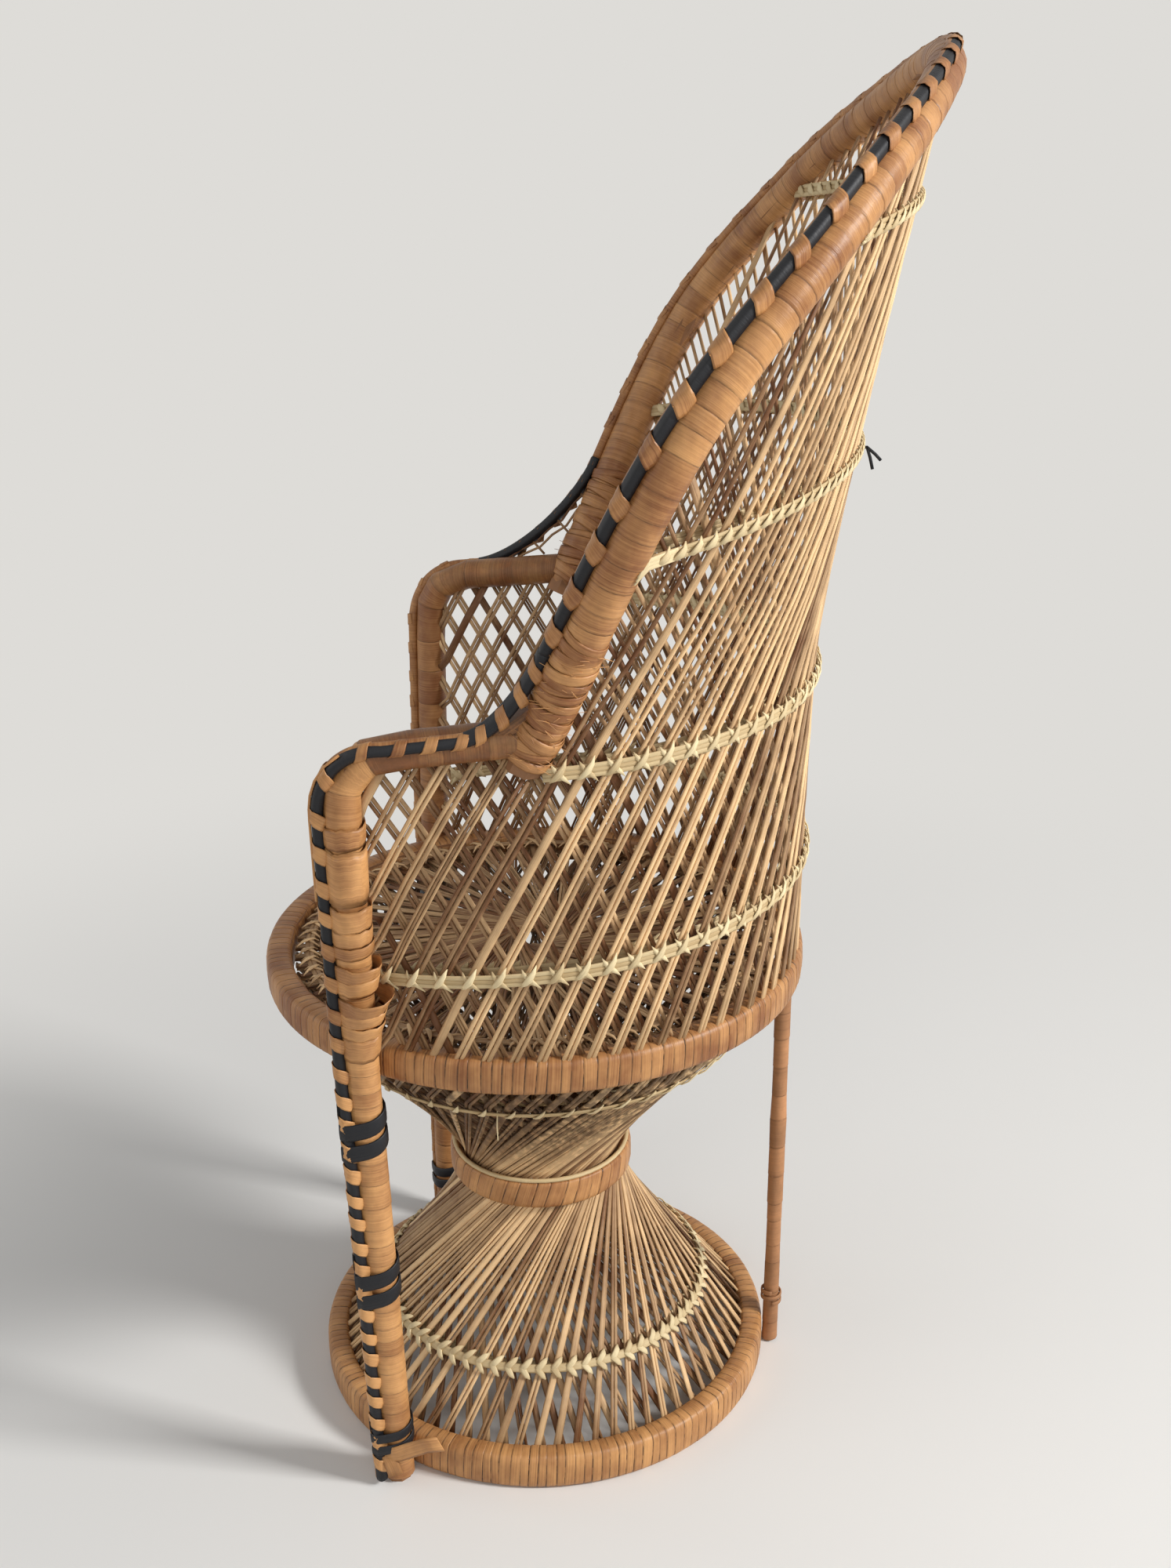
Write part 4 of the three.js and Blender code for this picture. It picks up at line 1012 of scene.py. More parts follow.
def strand(path, width, thickness, tones, draw, counts=CANE_COUNTS, rooms=None, dirt_and_shade=None):
    """One to three canes side by side along a path of (centre, side, out, share of the width).

    Rooms are the widths over which the canes spread at each place, where they part.
    """
    count = draw.choices((1, 2, 3), counts)[0]
    middle_tone = draw.uniform(*tones)
    canes = []
    for k in range(count):
        place = (k - (count - 1) / 2) / count
        lift = draw.uniform(-0.15, 0.25)
        tone = clamp(middle_tone + draw.uniform(-0.2, 0.2))
        half = width / count / 2 * draw.uniform(0.84, 0.98)
        stations = []
        for i, (centre, side, out, share) in enumerate(path):
            room = rooms[i] if rooms else width * share
            middle = centre + side * place * room + out * lift
            stations.append((middle, side * half * share, out * thickness / 2))
        canes.append(swept(stations, 6, tone, dirt_and_shade))
    return canes


PEDESTAL_STRAND = 0.92  # width of a strand of the pedestal, as a share of the setting
PEDESTAL_COUNTS = (0.45, 0.55, 0)
NARROWED = 4.4  # width below which a strand is narrowed, and the share of its room that it then fills
ROOM_FILLED = 0.94
# Painted shade under the seat hoop: the pedestal strands darken towards the bowl
BOWL_PAINTED_SHADE = 0.75
BOWL_SHADE_RAMP = 50  # height above the waist over which the painted shade grows


def pedestal_path(layer, start, count):
    inset = 0 if layer > 0 else LAYER_STEP
    corners = []
    for radius, turn, z in PEDESTAL_RINGS:
        corners.append(polar(radius - inset, layer * (start + math.radians(turn)), z))
    points = []
    for a, b, steps in zip(corners, corners[1:], PEDESTAL_STEPS):
        points += [a.lerp(b, i / steps) for i in range(steps)]
    points.append(corners[-1])
    outs = [Vector((p.x, p.y, 0)).normalized() for p in points]
    room = math.tau / count
    shares = [min(1, ROOM_FILLED * room * math.hypot(p.x, p.y) / NARROWED) for p in points]
    return along_path(points, outs, shares)


class CHAIR_OT_weave_pedestal(bpy.types.Operator):
    """Lays the two crossing layers of the pedestal from the base hoop to the seat"""

    bl_idname = "chair.weave_pedestal"
    bl_label = "Weave Pedestal"

    def execute(self, context):
        sizes = context.scene.chair_sizes
        count = sizes.pedestal_strands
        width, thickness = sizes.strand_width / MM * PEDESTAL_STRAND, sizes.cane_thickness / MM
        cane = split_cane(context.scene.chair_colours)
        # The inner layer's darker tones are partly painted shade inside the pedestal and partly age
        for label, layer, tones in (("outer", 1, (0.15, 0.95)), ("inner", -1, (0.0, 0.4))):
            draw = random.Random(SEED + layer)
            canes = []
            for i in range(count):
                path = pedestal_path(layer, i / count * math.tau, count)
                # Painted shade: the strands darken towards the bowl under the seat
                dirt_and_shade = [BOWL_PAINTED_SHADE * clamp((point.z - WAIST_TOP) / BOWL_SHADE_RAMP) for point, *_ in path]
                canes += strand(path, width, thickness, tones, draw, PEDESTAL_COUNTS, dirt_and_shade=dirt_and_shade)
            add_piece(f"pedestal_canes_{label}", canes, cane, "strand", f"hourglass_strands_{label}")
        return {"FINISHED"}


EDGE_ANGLE = LEG_ANGLE - math.radians(3)  # the last place beside a leg where a strand can end
BACK_STATION = 34  # height between the bends of a strand
PARTING = (432, 505)  # heights between which the canes of a strand part
PARTED = 0.87  # share of its room over which they then spread
SPREAD_FROM = math.radians(85)  # from here to the legs the strands lie wider apart
SPREAD = 1.12
SUNK = 3  # depth in the peel at which a strand ends
SHORTEST = 16  # height below which a strand is left out
LEG_ENTRY = 7  # height over which a strand goes into a leg, and its depth there
LEG_ENTRY_DEPTH = 2


def strand_angle(layer, start, z):
    """Where a strand that starts at one angle is at a height."""
    angle = start - layer * back_turn(z)
    past = max(0, abs(angle) - SPREAD_FROM)
    return angle + math.copysign((SPREAD - 1) * past, angle)


def back_strand_heights(layer, start):
    """Heights from which and to which a strand shows, and whether it starts or ends at a leg."""
    low = STRAND_FOOT
    while layer * strand_angle(layer, start, low) > EDGE_ANGLE:
        low += 2
        if low > ARM_CORNER.z:
            return None
    high = max(low, SEAT_TOP) + 4
    past_leg = False
    while high < CROWN.z:
        angle = strand_angle(layer, start, high)
        past_leg = -layer * angle > EDGE_ANGLE
        if past_leg or depth_in_frame(back_surface(angle, high)) > SUNK:
            break
        high += 3
    return (low, high, low > STRAND_FOOT, past_leg) if high - low > SHORTEST else None


def into_leg(point, rise):
    """A point inside the peel of the leg beside a strand's end."""
    _, line = LEGS["left" if point.x > 0 else "right"]
    axis = line.at(point.z + rise)
    return axis + (point + UP * rise - axis).normalized() * (LEG_RADIUS - LEG_ENTRY_DEPTH)


def back_path(layer, start, low, high, from_leg, to_leg):
    count = max(2, math.ceil((high - low) / BACK_STATION))
    heights = [low + (high - low) * i / count for i in range(count + 1)]
    angles = [strand_angle(layer, start, z) for z in heights]
    outs = [back_outward(a, z) for a, z in zip(angles, heights)]
    points = [back_surface(a, z) + o * layer * LAYER_STEP / 2 for a, z, o in zip(angles, heights, outs)]
    if from_leg:
        points.insert(0, into_leg(points[0], -LEG_ENTRY))
        outs.insert(0, outs[0])
    if to_leg:
        points.append(into_leg(points[-1], LEG_ENTRY))
        outs.append(outs[-1])
    return along_path(points, outs, [1] * len(points))


def parted(path, width, count):
    """The room of a strand along its path: its own width low down, its share of the circle high up."""
    low, high = PARTING
    rooms = []
    for point, *_ in path:
        share = clamp((point.z - low) / (high - low))
        full = math.tau * back_half_width(point.z) / count * PARTED
        rooms.append(width + (full - width) * share ** 2 * (3 - 2 * share))
    return rooms


def back_starts(layer, count):
    reach = math.ceil((LEG_ANGLE + TURNS[-1]) / math.tau * count)
    starts = [i / count * math.tau for i in range(-reach, reach + 1)]
    return [start for start in starts if -layer * start < EDGE_ANGLE]


class CHAIR_OT_weave_back(bpy.types.Operator):
    """Lays the two crossing layers of the back from the seat hoop and the legs to the back hoop"""

    bl_idname = "chair.weave_back"
    bl_label = "Weave Back"

    def execute(self, context):
        sizes = context.scene.chair_sizes
        width, thickness = sizes.strand_width / MM, sizes.cane_thickness / MM
        cane = split_cane(context.scene.chair_colours)
        # The inner layer's darker tones are partly painted shade behind the outer layer and partly age
        for label, layer, tones in (("outer", 1, (0.15, 1.0)), ("inner", -1, (0.0, 0.5))):
            draw = random.Random(SEED + 10 + layer)
            canes = []
            for start in back_starts(layer, sizes.back_strands):
                run = back_strand_heights(layer, start)
                if run:
                    path = back_path(layer, start, *run)
                    rooms = parted(path, width, sizes.back_strands)
                    canes += strand(path, width, thickness, tones, draw, rooms=rooms)
            add_piece(f"back_canes_{label}", canes, cane, "strand", f"back_strands_{label}")
        return {"FINISHED"}


# Seat panel

SEAT_EYE = 13
SEAT_RIM = 134
SEAT_SKEW = math.radians(62)
SEAT_HEIGHTS = {1: SEAT_TOP - 4.4, -1: SEAT_TOP - 6.6}
SEAT_TIERS = 3  # heights at which neighbouring strands pass the eye
SEAT_TIER = 0.9
SEAT_STRAND_WIDTH = 4.0
SEAT_CANE = 0.8  # thickness of its canes, as a share of the setting
SEAT_SHARES = (0.75, 1, 1, 1, 1, 1)  # of a strand's width, from the eye to the rim


class CHAIR_OT_weave_seat(bpy.types.Operator):
    """Lays the two crossing layers of the seat round its eye"""

    bl_idname = "chair.weave_seat"
    bl_label = "Weave Seat"

    def execute(self, context):
        sizes = context.scene.chair_sizes
        cane = split_cane(context.scene.chair_colours)
        count = sizes.pedestal_strands
        thickness = sizes.cane_thickness / MM * SEAT_CANE
        last = len(SEAT_SHARES) - 1
        for label, layer in (("upper", 1), ("lower", -1)):
            draw = random.Random(SEED + 20 + layer)
            canes = []
            for i in range(count):
                angle = i / count * math.tau
                eye = polar(SEAT_EYE, angle, SEAT_HEIGHTS[layer] - (i % SEAT_TIERS) * SEAT_TIER)
                rim = polar(SEAT_RIM, angle + layer * SEAT_SKEW, SEAT_HEIGHTS[layer])
                points = [eye.lerp(rim, k / last) for k in range(last + 1)]
                path = along_path(points, [UP] * len(points), SEAT_SHARES)
                # The seat's darker tones are partly its own brown and partly painted shade under the
                # back
                canes += strand(path, SEAT_STRAND_WIDTH, thickness, (0.0, 0.5), draw)
            add_piece(f"seat_canes_{label}", canes, cane, "strand", f"seat_strands_{label}")
        return {"FINISHED"}


# Twined bands

# Routes of straws at a strand: along the band, up and out
STITCH_UP = ((-4.4, -4.6, -1.4), (-2.6, -2.4, 1.0), (0.2, 0.6, 1.9), (2.6, 4.0, 1.4), (4.2, 6.8, -0.6))
STITCH_DOWN = ((5.2, -6.0, -0.8), (2.4, -2.4, 1.0), (0, 0.2, 1.2), (-2.2, 3.0, 0.8), (-3.0, 4.8, -1.2))
STITCH_OVER = ((-3.2, -3.6, -1.0), (-2.0, -2.0, 1.1), (0, 0.2, 1.7), (1.9, 2.3, 1.1), (3.0, 4.2, -1.0))
CHEVRON_UP = ((-2.6, -1.6, -0.6), (-1.2, 0.2, 1.2), (0.6, 2.0, 1.6), (2.2, 3.9, 1.3), (3.6, 5.6, -0.8))
CHEVRON_DOWN = (
    (-2.8, 1.6, -0.6), (-1.6, -0.2, 0.9), (-0.2, -2.0, 1.3), (1.2, -3.9, 1.1), (2.6, -5.6, -0.8),
)
SPIKE = ((-3.2, -4.4, -1.0), (-1.8, -2.0, 1.0), (0.2, 1.0, 1.6), (2.2, 4.8, 1.0), (3.8, 8.6, 0.2))
# Shares of a straw's width along its route
LEAF = (0.15, 0.8, 1.1, 0.75, 0.1)
BLADE = (0.5, 1, 1, 0.9, 0.3)
STITCH_TONES = (0.5, 1.0)
STRAW_HALF_THICKNESS = 0.45
BAND_HALF_THICKNESS = 0.6
BAND_LAP = 0.58  # half width of a band's straw, as a share of its room
BAND_STEPS = 60
BAND_LIFT = LAYER_STEP / 2 + 1.9  # of a back band from the middle of the two layers
PEDESTAL_BAND_LIFT = 1.8  # of a pedestal band from the layer that it lies on
BOWL_SPIKES = 50  # straws round the band under the seat
HANGING_STRAW = math.radians(-6)
SEAT_BAND_RADIUS = 126
TAIL_STRAWS = 3  # pointed ends of a band on the back hoop
TAIL_SPACING = 1.9
TAIL_HALF_WIDTH = 1.6


def band(places, rows, width, closed, tone, draw):
    """Flat straws one above the other, through places of (centre, along, up, out)."""
    straws = []
    each = width / rows
    for row in range(rows):
        rise = (row - (rows - 1) / 2) * each
        lift = draw.uniform(0, 0.3)
        stations = []
        for centre, _, up, out in places:
            middle = centre + up * rise + out * lift
            stations.append((middle, up * each * BAND_LAP, out * BAND_HALF_THICKNESS))
        straws.append(swept(stations, 6, tone + draw.uniform(-0.2, 0.2), closed=closed))
    return straws


def stitched(places, draw, *straws):
    """Straws that cross a band at each place, each given as its route, width and shares of the width."""
    stitches = []
    for centre, along, up, out in places:
        for route, width, shares in straws:
            points = [centre + along * a + up * u + out * o for a, u, o in route]
            outs, tone = [out] * len(points), draw.uniform(*STITCH_TONES)
            stitches.append(tapered(points, outs, shares, width / 2, STRAW_HALF_THICKNESS, tone))
    return stitches


def pedestal_places(layer, height, count, offset):
    """Places on a pedestal band, at the strands that it crosses."""
    path = pedestal_path(layer, 0, count)
    points = [p for p, *_ in path]
    i = next(k for k in range(1, len(points)) if points[k].z >= height)
    share = (height - points[i - 1].z) / (points[i].z - points[i - 1].z)
    crossing = points[i - 1].lerp(points[i], share)
    slope = points[i] - points[i - 1]
    radius = math.hypot(crossing.x, crossing.y)
    start = math.atan2(crossing.y, crossing.x)
    radial_slope = (slope.x * crossing.x + slope.y * crossing.y) / radius
    places = []
    for k in range(count):
        radial, along = round_axis(start + k / count * math.tau)
        up = (radial * radial_slope + UP * slope.z).normalized()
        out = (along.cross(up) * layer).normalized()
        out = out if out.dot(radial) * layer > 0 else -out
        places.append((radial * radius + UP * height + out * offset, along, up, out))
    return places


def band_point(level, angle):
    """A point on the lattice at a back band, which climbs to the back."""
    side_height, climb = level
    return back_surface(angle, side_height + climb * math.cos(angle))


def back_places(layer, level, angles, offset):
    places = []
    for angle in angles:
        centre = band_point(level, angle)
        along = (band_point(level, angle - NEARBY) - band_point(level, angle + NEARBY)).normalized()
        rise = back_surface(angle, centre.z + 2) - back_surface(angle, centre.z - 2)
        up = square_to(rise, along)
        out = along.cross(up) * layer
        places.append((centre + out * offset, along, up, out))
    return places


def band_crossings(layer, level, count):
    """Angles at which a back band crosses the strands of a layer."""
    angles = []
    for start in back_starts(layer, count):
        angle = strand_angle(layer, start, level[0])
        for _ in range(5):
            angle = strand_angle(layer, start, band_point(level, angle).z)
        angles.append(angle)
    return angles


def band_tail(layer, level, end):
    """Pointed ends of a band's straws, lapped over the back hoop."""
    inner, edge = back_places(layer, level, (end * 0.93, end), BAND_LIFT)
    met = min(range(0, int(HOOP.length), 2), key=lambda length: (HOOP.at(length) - edge[0]).length)
    straws = []
    for k in range(TAIL_STRAWS):
        rise = TAIL_SPACING * (k - 1)
        length = met - math.copysign(7 - 2 * k, end)
        tangent = HOOP.tangent(length)
        face = square_to(edge[3] * 3 + (inner[0] - edge[0]).normalized(), tangent)
        points = [
            inner[0] + inner[2] * rise + inner[3] * 0.5,
            edge[0] + edge[2] * rise + edge[3] * 1.6,
            HOOP.at(length) + face * (hoop_radius(length) + 0.6),
        ]
        outs = [inner[3], edge[3], face]
        straws.append(tapered(points, outs, (1, 1, 0.2), TAIL_HALF_WIDTH, STRAW_HALF_THICKNESS, 0.85))
    return straws


def base_band(layer, count, draw):
    """The band near the base, with a chevron at every strand."""
    places = pedestal_places(layer, BASE_TWINE_HEIGHT, count, PEDESTAL_BAND_LIFT)
    chevrons = stitched(places, draw, (CHEVRON_DOWN, 3.4, BLADE), (CHEVRON_UP, 3.6, BLADE))
    return band(places, 1, 4.2, True, 0.5, draw) + chevrons


def bowl_band(layer, draw):
    """The band under the seat, with its spikes and, outside, the straw that hangs from it."""
    places = pedestal_places(layer, BOWL_TWINE_HEIGHT, BOWL_SPIKES, PEDESTAL_BAND_LIFT)
    parts = band(places, 1, 4.6, True, 0.2, draw)
    parts += stitched(places, draw, (SPIKE, 3.0, LEAF))
    if layer > 0:
        radial = polar(1, HANGING_STRAW, 0)
        end = radial * math.hypot(*places[0][0].xy) + UP * (BOWL_TWINE_HEIGHT + 1)
        hanging = [end, end + radial * 2 - UP * 8, end + radial - UP * 17]
        parts.append(strip(hanging, ACROSS.cross(UP), 0.9, 0.7, 0.9))
    return parts


def band_end(level):
    """The angle at which a back band meets the hoop or a leg."""
    end = math.radians(20)
    limit = math.pi / 2 if level[0] > ELBOW.z else EDGE_ANGLE
    while end < limit and depth_in_frame(band_point(level, end)) < 1:
        end += math.radians(0.5)
    return end


def back_band(layer, level, width, count, draw):
    """A band of the back; above the arms the canes have parted, and it ends on the hoop."""
    above_arms = level[0] > ELBOW.z
    end = band_end(level)
    run = [end * (2 * k / BAND_STEPS - 1) for k in range(BAND_STEPS + 1)]
    crossings = band_crossings(layer, level, count * 2 if above_arms else count)
    knots = [angle for angle in crossings if abs(angle) < end - 0.02]
    if above_arms:
        straws = [(STITCH_OVER, 4.2, LEAF)]
    else:
        straws = [(STITCH_DOWN, 2.7, LEAF), (STITCH_UP, 3.3, LEAF)]
    parts = band(back_places(layer, level, run, BAND_LIFT), 3, width, False, 0.45, draw)
    parts += stitched(back_places(layer, level, knots, BAND_LIFT), draw, *straws)
    if above_arms and layer > 0:
        parts += band_tail(layer, level, end) + band_tail(layer, level, -end)
    return parts


def seat_band(height, way, count, draw):
    """The ring at the seat's rim, facing up or down."""
    places = []
    for k in range(count):
        radial, along = round_axis(k / count * math.tau)
        places.append((radial * SEAT_BAND_RADIUS + UP * height, along, radial, UP * way))
    stitches = stitched(places, draw, (STITCH_DOWN, 2.2, LEAF), (STITCH_UP, 2.6, LEAF))
    return band(places, 2, 4.5, True, 0.3, draw) + stitches


class CHAIR_OT_twine_bands(bpy.types.Operator):
    """Twines straw round the strands of the pedestal and the back, and cane round the seat's rim"""

    bl_idname = "chair.twine_bands"
    bl_label = "Twine Bands"

    def execute(self, context):
        sizes = context.scene.chair_sizes
        count, width = sizes.pedestal_strands, sizes.twine_width / MM
        pale = straw(context.scene.chair_colours)
        cane = split_cane(context.scene.chair_colours)
        for label, layer in (("outer", 1), ("inner", -1)):
            draw = random.Random(SEED + 30 + layer)
            parts = base_band(layer, count, draw)
            add_piece(f"base_band_{label}", parts, pale, "twine", f"base_twine_{label}")
            parts = bowl_band(layer, draw)
            add_piece(f"bowl_band_{label}", parts, pale, "twine", f"bowl_twine_{label}")
            for i, level in enumerate(BACK_BANDS, 1):
                parts = back_band(layer, level, width, sizes.back_strands, draw)
                add_piece(f"back_band_{i}_{label}", parts, pale, "twine", f"back_twine_{i}_{label}")
        for label, height, way in (("upper", SEAT_TOP - 2.2, 1), ("lower", SEAT_TOP - 9, -1)):
            parts = seat_band(height, way, count, random.Random(SEED + 40 + way))
            add_piece(f"seat_band_{label}", parts, cane, "twine", f"seat_twine_{label}")
        return {"FINISHED"}


# Edge braid: a natural ridge from each foot up the leg, along the arm, over the corner and round
# the back hoop, with a black strip on its outer side under natural lashes

RIDGE_HALF_WIDTH = 3.4
RIDGE_HALF_HEIGHT = 2.8
RIDGE_RISE = 2.2  # of its middle above the peel
ARM_RIDGE_RISE = 0
RISE_RAMP = 40  # length about the bend over which the rise changes
RIDGE_TONE = 0.35
BLACK_SWELL = 1.07  # size of the black strip against the ridge
# Route of a lash over the ridge: along it, towards its outer side and out
LASH = (
    (3.6, -3.4, 0), (3.0, -2.2, 2.75), (2.2, 0, 3.35), (1.2, 2.5, 2.95),
    (0, 3.9, 0.9), (-1.6, 4.05, -1.2), (-3.0, 3.9, -3.6),
)
LASH_STEPS = 10
FIRST_LASH = 12  # along a run, and the least length after the last one
LAST_LASH = 8
# Widths on the hoop and the arms, and pitch on the legs below the seat, as shares of the settings
HOOP_LASH = 1.3
ARM_LASH = 0.75
LOW_LEG_PITCH = 0.86
ARM_LASHES_START = 40  # past the bend of the leg, less the reach of the corner
BRAID_START = 4  # along a leg
BRAID_STEP = 2
# Along a leg, how far the braid has turned from the front to the outer side, in degrees
LEG_ROLLS = ((0, 40), (230, 38), (330, 14), (415, 10), (455, 62), (600, 62))
HOOP_ROLLS = (16, 62)  # the same on the back hoop: at the elbows, and how much more at the crown
HOOP_ROLL_CURVE = 1.8
CROWN_SINK = 1.3  # share of its rise that the ridge loses towards the crown
CROWN_SINK_CURVE = 3
# Where the braid leaves the arm and where it meets the hoop, as lengths from the elbow
CORNERS = {"right": (62, 66), "left": (34, 46)}
CORNER_PULL = 0.28  # of the curve across a corner towards both poles
CORNER_LENGTH = 1.15  # of that curve against its chord


def leg_roll(length):
    for (a, low), (b, high) in zip(LEG_ROLLS, LEG_ROLLS[1:]):
        if length <= b:
            return math.radians(low + (high - low) * (length - a) / (b - a))
    return math.radians(LEG_ROLLS[-1][1])


def leg_edge(label, length):
    """A place on a leg's braid: the middle of the ridge and its outward direction."""
    side, line = LEGS[label]
    tangent = line.tangent(length)
    roll = leg_roll(length)
    normal = leg_front(tangent) * math.cos(roll) + square_to(ACROSS * side, tangent) * math.sin(roll)
    bend = line.length - ARM_LENGTH
    share = clamp((length - bend + RISE_RAMP / 2) / RISE_RAMP)
    rise = RIDGE_RISE + (ARM_RIDGE_RISE - RIDGE_RISE) * share
    return line.at(length) + normal * (LEG_RADIUS + rise), normal


def hoop_edge(length):
    """A place on the back hoop's braid, which turns to the outer side towards the crown."""
    tangent = HOOP.tangent(length)
    face = square_to(HOOP_FACE, tangent)
    climb = max(0, 1 - abs(2 * length / HOOP.length - 1))
    roll = math.radians(HOOP_ROLLS[0] + HOOP_ROLLS[1] * climb ** HOOP_ROLL_CURVE)
    normal = face * math.cos(roll) + tangent.cross(face) * math.sin(roll)
    rise = RIDGE_RISE * (1 - CROWN_SINK * climb ** CROWN_SINK_CURVE)
    return HOOP.at(length) + normal * (hoop_radius(length) + rise), normal


def leg_run(label):
    """Places on the braid from a foot to where it meets the hoop."""
    side, line = LEGS[label]
    arm_reach, hoop_reach = CORNERS[label]
    stop = line.length - arm_reach
    count = round((stop - BRAID_START) / BRAID_STEP)
    run = [BRAID_START + (stop - BRAID_START) * i / count for i in range(count + 1)]
    places = [leg_edge(label, length) for length in run]
    met = past_elbow(side, hoop_reach)
    (start, low), (end, high) = places[-1], hoop_edge(met)
    gap = (end - start).length
    leave = line.tangent(stop) * gap * CORNER_PULL
    arrive = HOOP.tangent(met) * side * gap * CORNER_PULL
    steps = round(gap * CORNER_LENGTH / BRAID_STEP)
    corner = interpolate_bezier(start, start + leave, end - arrive, end, steps)
    for i in range(1, steps):
        places.append((corner[i], low.lerp(high, i / (steps - 1)).normalized()))
    return places


def hoop_run():
    start, end = CORNERS["left"][1], HOOP.length - CORNERS["right"][1]
    count = round((end - start) / BRAID_STEP)
    return [hoop_edge(start + (end - start) * i / count) for i in range(count + 1)]


def braid_places(places, side):
    """Each place of a run as its centre with directions along, to the outer side and out."""
    full = []
    for i, (centre, normal) in enumerate(places):
        ahead, behind = places[min(i + 1, len(places) - 1)][0], places[max(i - 1, 0)][0]
        tangent = (ahead - behind).normalized()
        out = square_to(normal, tangent)
        full.append((centre, tangent, tangent.cross(out) * side, out))
    return full


def outer_half(i, y, z):
    """A flat section that is cut off on its inner side."""
    across, rise = FLAT(i, y, z)
    return max(across, -0.3), rise


def lash(place, width, tone):
    """A flat strip laid over the ridge, as wide along it as given."""
    centre, along, outer, out = place
    line = Line([centre + along * a + outer * b + out * c for a, b, c in LASH])
    stations = []
    for i in range(LASH_STEPS + 1):
        length = line.length * i / LASH_STEPS
        tangent = line.tangent(length)
        side = square_to(along, tangent)
        stations.append((line.at(length), side * width / 2, tangent.cross(side) * 0.25))
    return swept(stations, 8, tone)


def ridge(places, swell, section):
    stations = []
    for centre, _, outer, out in places:
        stations.append((centre, outer * RIDGE_HALF_WIDTH * swell, out * RIDGE_HALF_HEIGHT * swell))
    return swept(stations, 12, RIDGE_TONE, section=section, around=True)


def lash_sizes(sizes, run, corner):
    """Pitch, width and tones of the lashes at a length along a leg, or on the hoop without a corner."""
    if not corner:
        return sizes.braid_pitch, sizes.lash_width * HOOP_LASH, (0.2, 0.6)
    if run > corner - ARM_LENGTH + ARM_LASHES_START:
        return sizes.arm_braid_pitch, sizes.lash_width * ARM_LASH, (0.2, 0.6)
    if run < SEAT_BOTTOM:
        return sizes.leg_braid_pitch * LOW_LEG_PITCH, sizes.lash_width, (0.75, 1.0)
    return sizes.leg_braid_pitch, sizes.lash_width, (0.4, 0.8)


class CHAIR_OT_plait_edges(bpy.types.Operator):
    """Lays the black and natural braid along the legs, the arms and the back hoop"""

    bl_idname = "chair.plait_edges"
    bl_label = "Plait Edges"

    def execute(self, context):
        colours = context.scene.chair_colours
        natural, black = rattan_peel(colours), dyed_peel(colours)
        runs = [("back_hoop_braid", braid_places(hoop_run(), 1), None)]
        for label, (side, line) in LEGS.items():
            corner = line.length - CORNERS[label][0]
            runs.append((f"leg_braid_{label}", braid_places(leg_run(label), side), corner))
        for node, places, corner in runs:
            draw = random.Random(SEED + 50 + len(places))
            parts = [ridge(places, 1, FLAT)]
            run = FIRST_LASH
            while run < len(places) * BRAID_STEP - LAST_LASH:
                pitch, width, tones = lash_sizes(context.scene.chair_sizes, run, corner)
                width *= draw.uniform(0.9, 1.1) / MM
                parts.append(lash(places[round(run / BRAID_STEP)], width, draw.uniform(*tones)))
                run += pitch / MM
            add_piece(f"{node}_natural", parts, natural, "braid", node)
            split = round(corner / BRAID_STEP) if corner else len(places) - 1
            dyed = [ridge(places[:split + 1], BLACK_SWELL, outer_half)]
            if split < len(places) - 2:
                dyed.append(ridge(places[split:], BLACK_SWELL, FLAT))
            add_piece(f"{node}_black", dyed, black, "black", node)
        return {"FINISHED"}


# Black bindings and the rear leg

WINDING_TURNS = 2
WINDING_STEPS = 24  # of one turn
BINDING_LIFT = 0.8  # of a strip's middle above what it binds
WIDEST_TURNS = 3  # turns of the solid binding that has the full width
RIDGE_SPAN = 0.5  # angle over which a binding comes down beside the ridge
REAR_TIE_PLACE = 33  # along the stick
REAR_TIE_PITCH = 4
REAR_TIE_WIDTH = 3
LOOSE_TIE_ANGLE = math.radians(9)
LOOSE_TIE_BAND = 3


def winding(axis, up, forward, radius_at, pitch, width):
    """A flat strip wound as a helix. By angle from the front, radius_at gives its reach."""
    side = up.cross(forward)
    stations = []
    for i in range(WINDING_TURNS * WINDING_STEPS + 1):
        turn = i / WINDING_STEPS
        out = forward * math.cos(turn * math.tau) + side * math.sin(turn * math.tau)
        centre = axis + out * radius_at(turn * math.tau) + up * pitch * (turn - WINDING_TURNS / 2)
        stations.append((centre, up * width / 2, out * 0.55))
    return swept(stations, 8, 0.4)


def leg_reach(angle):
    """Reach of a binding round a leg and its braid."""
    turn = math.atan2(math.sin(angle), math.cos(angle))
    beside = math.exp(-((turn / RIDGE_SPAN) ** 2))
    return LEG_RADIUS + BINDING_LIFT + (RIDGE_RISE + RIDGE_HALF_HEIGHT) * beside


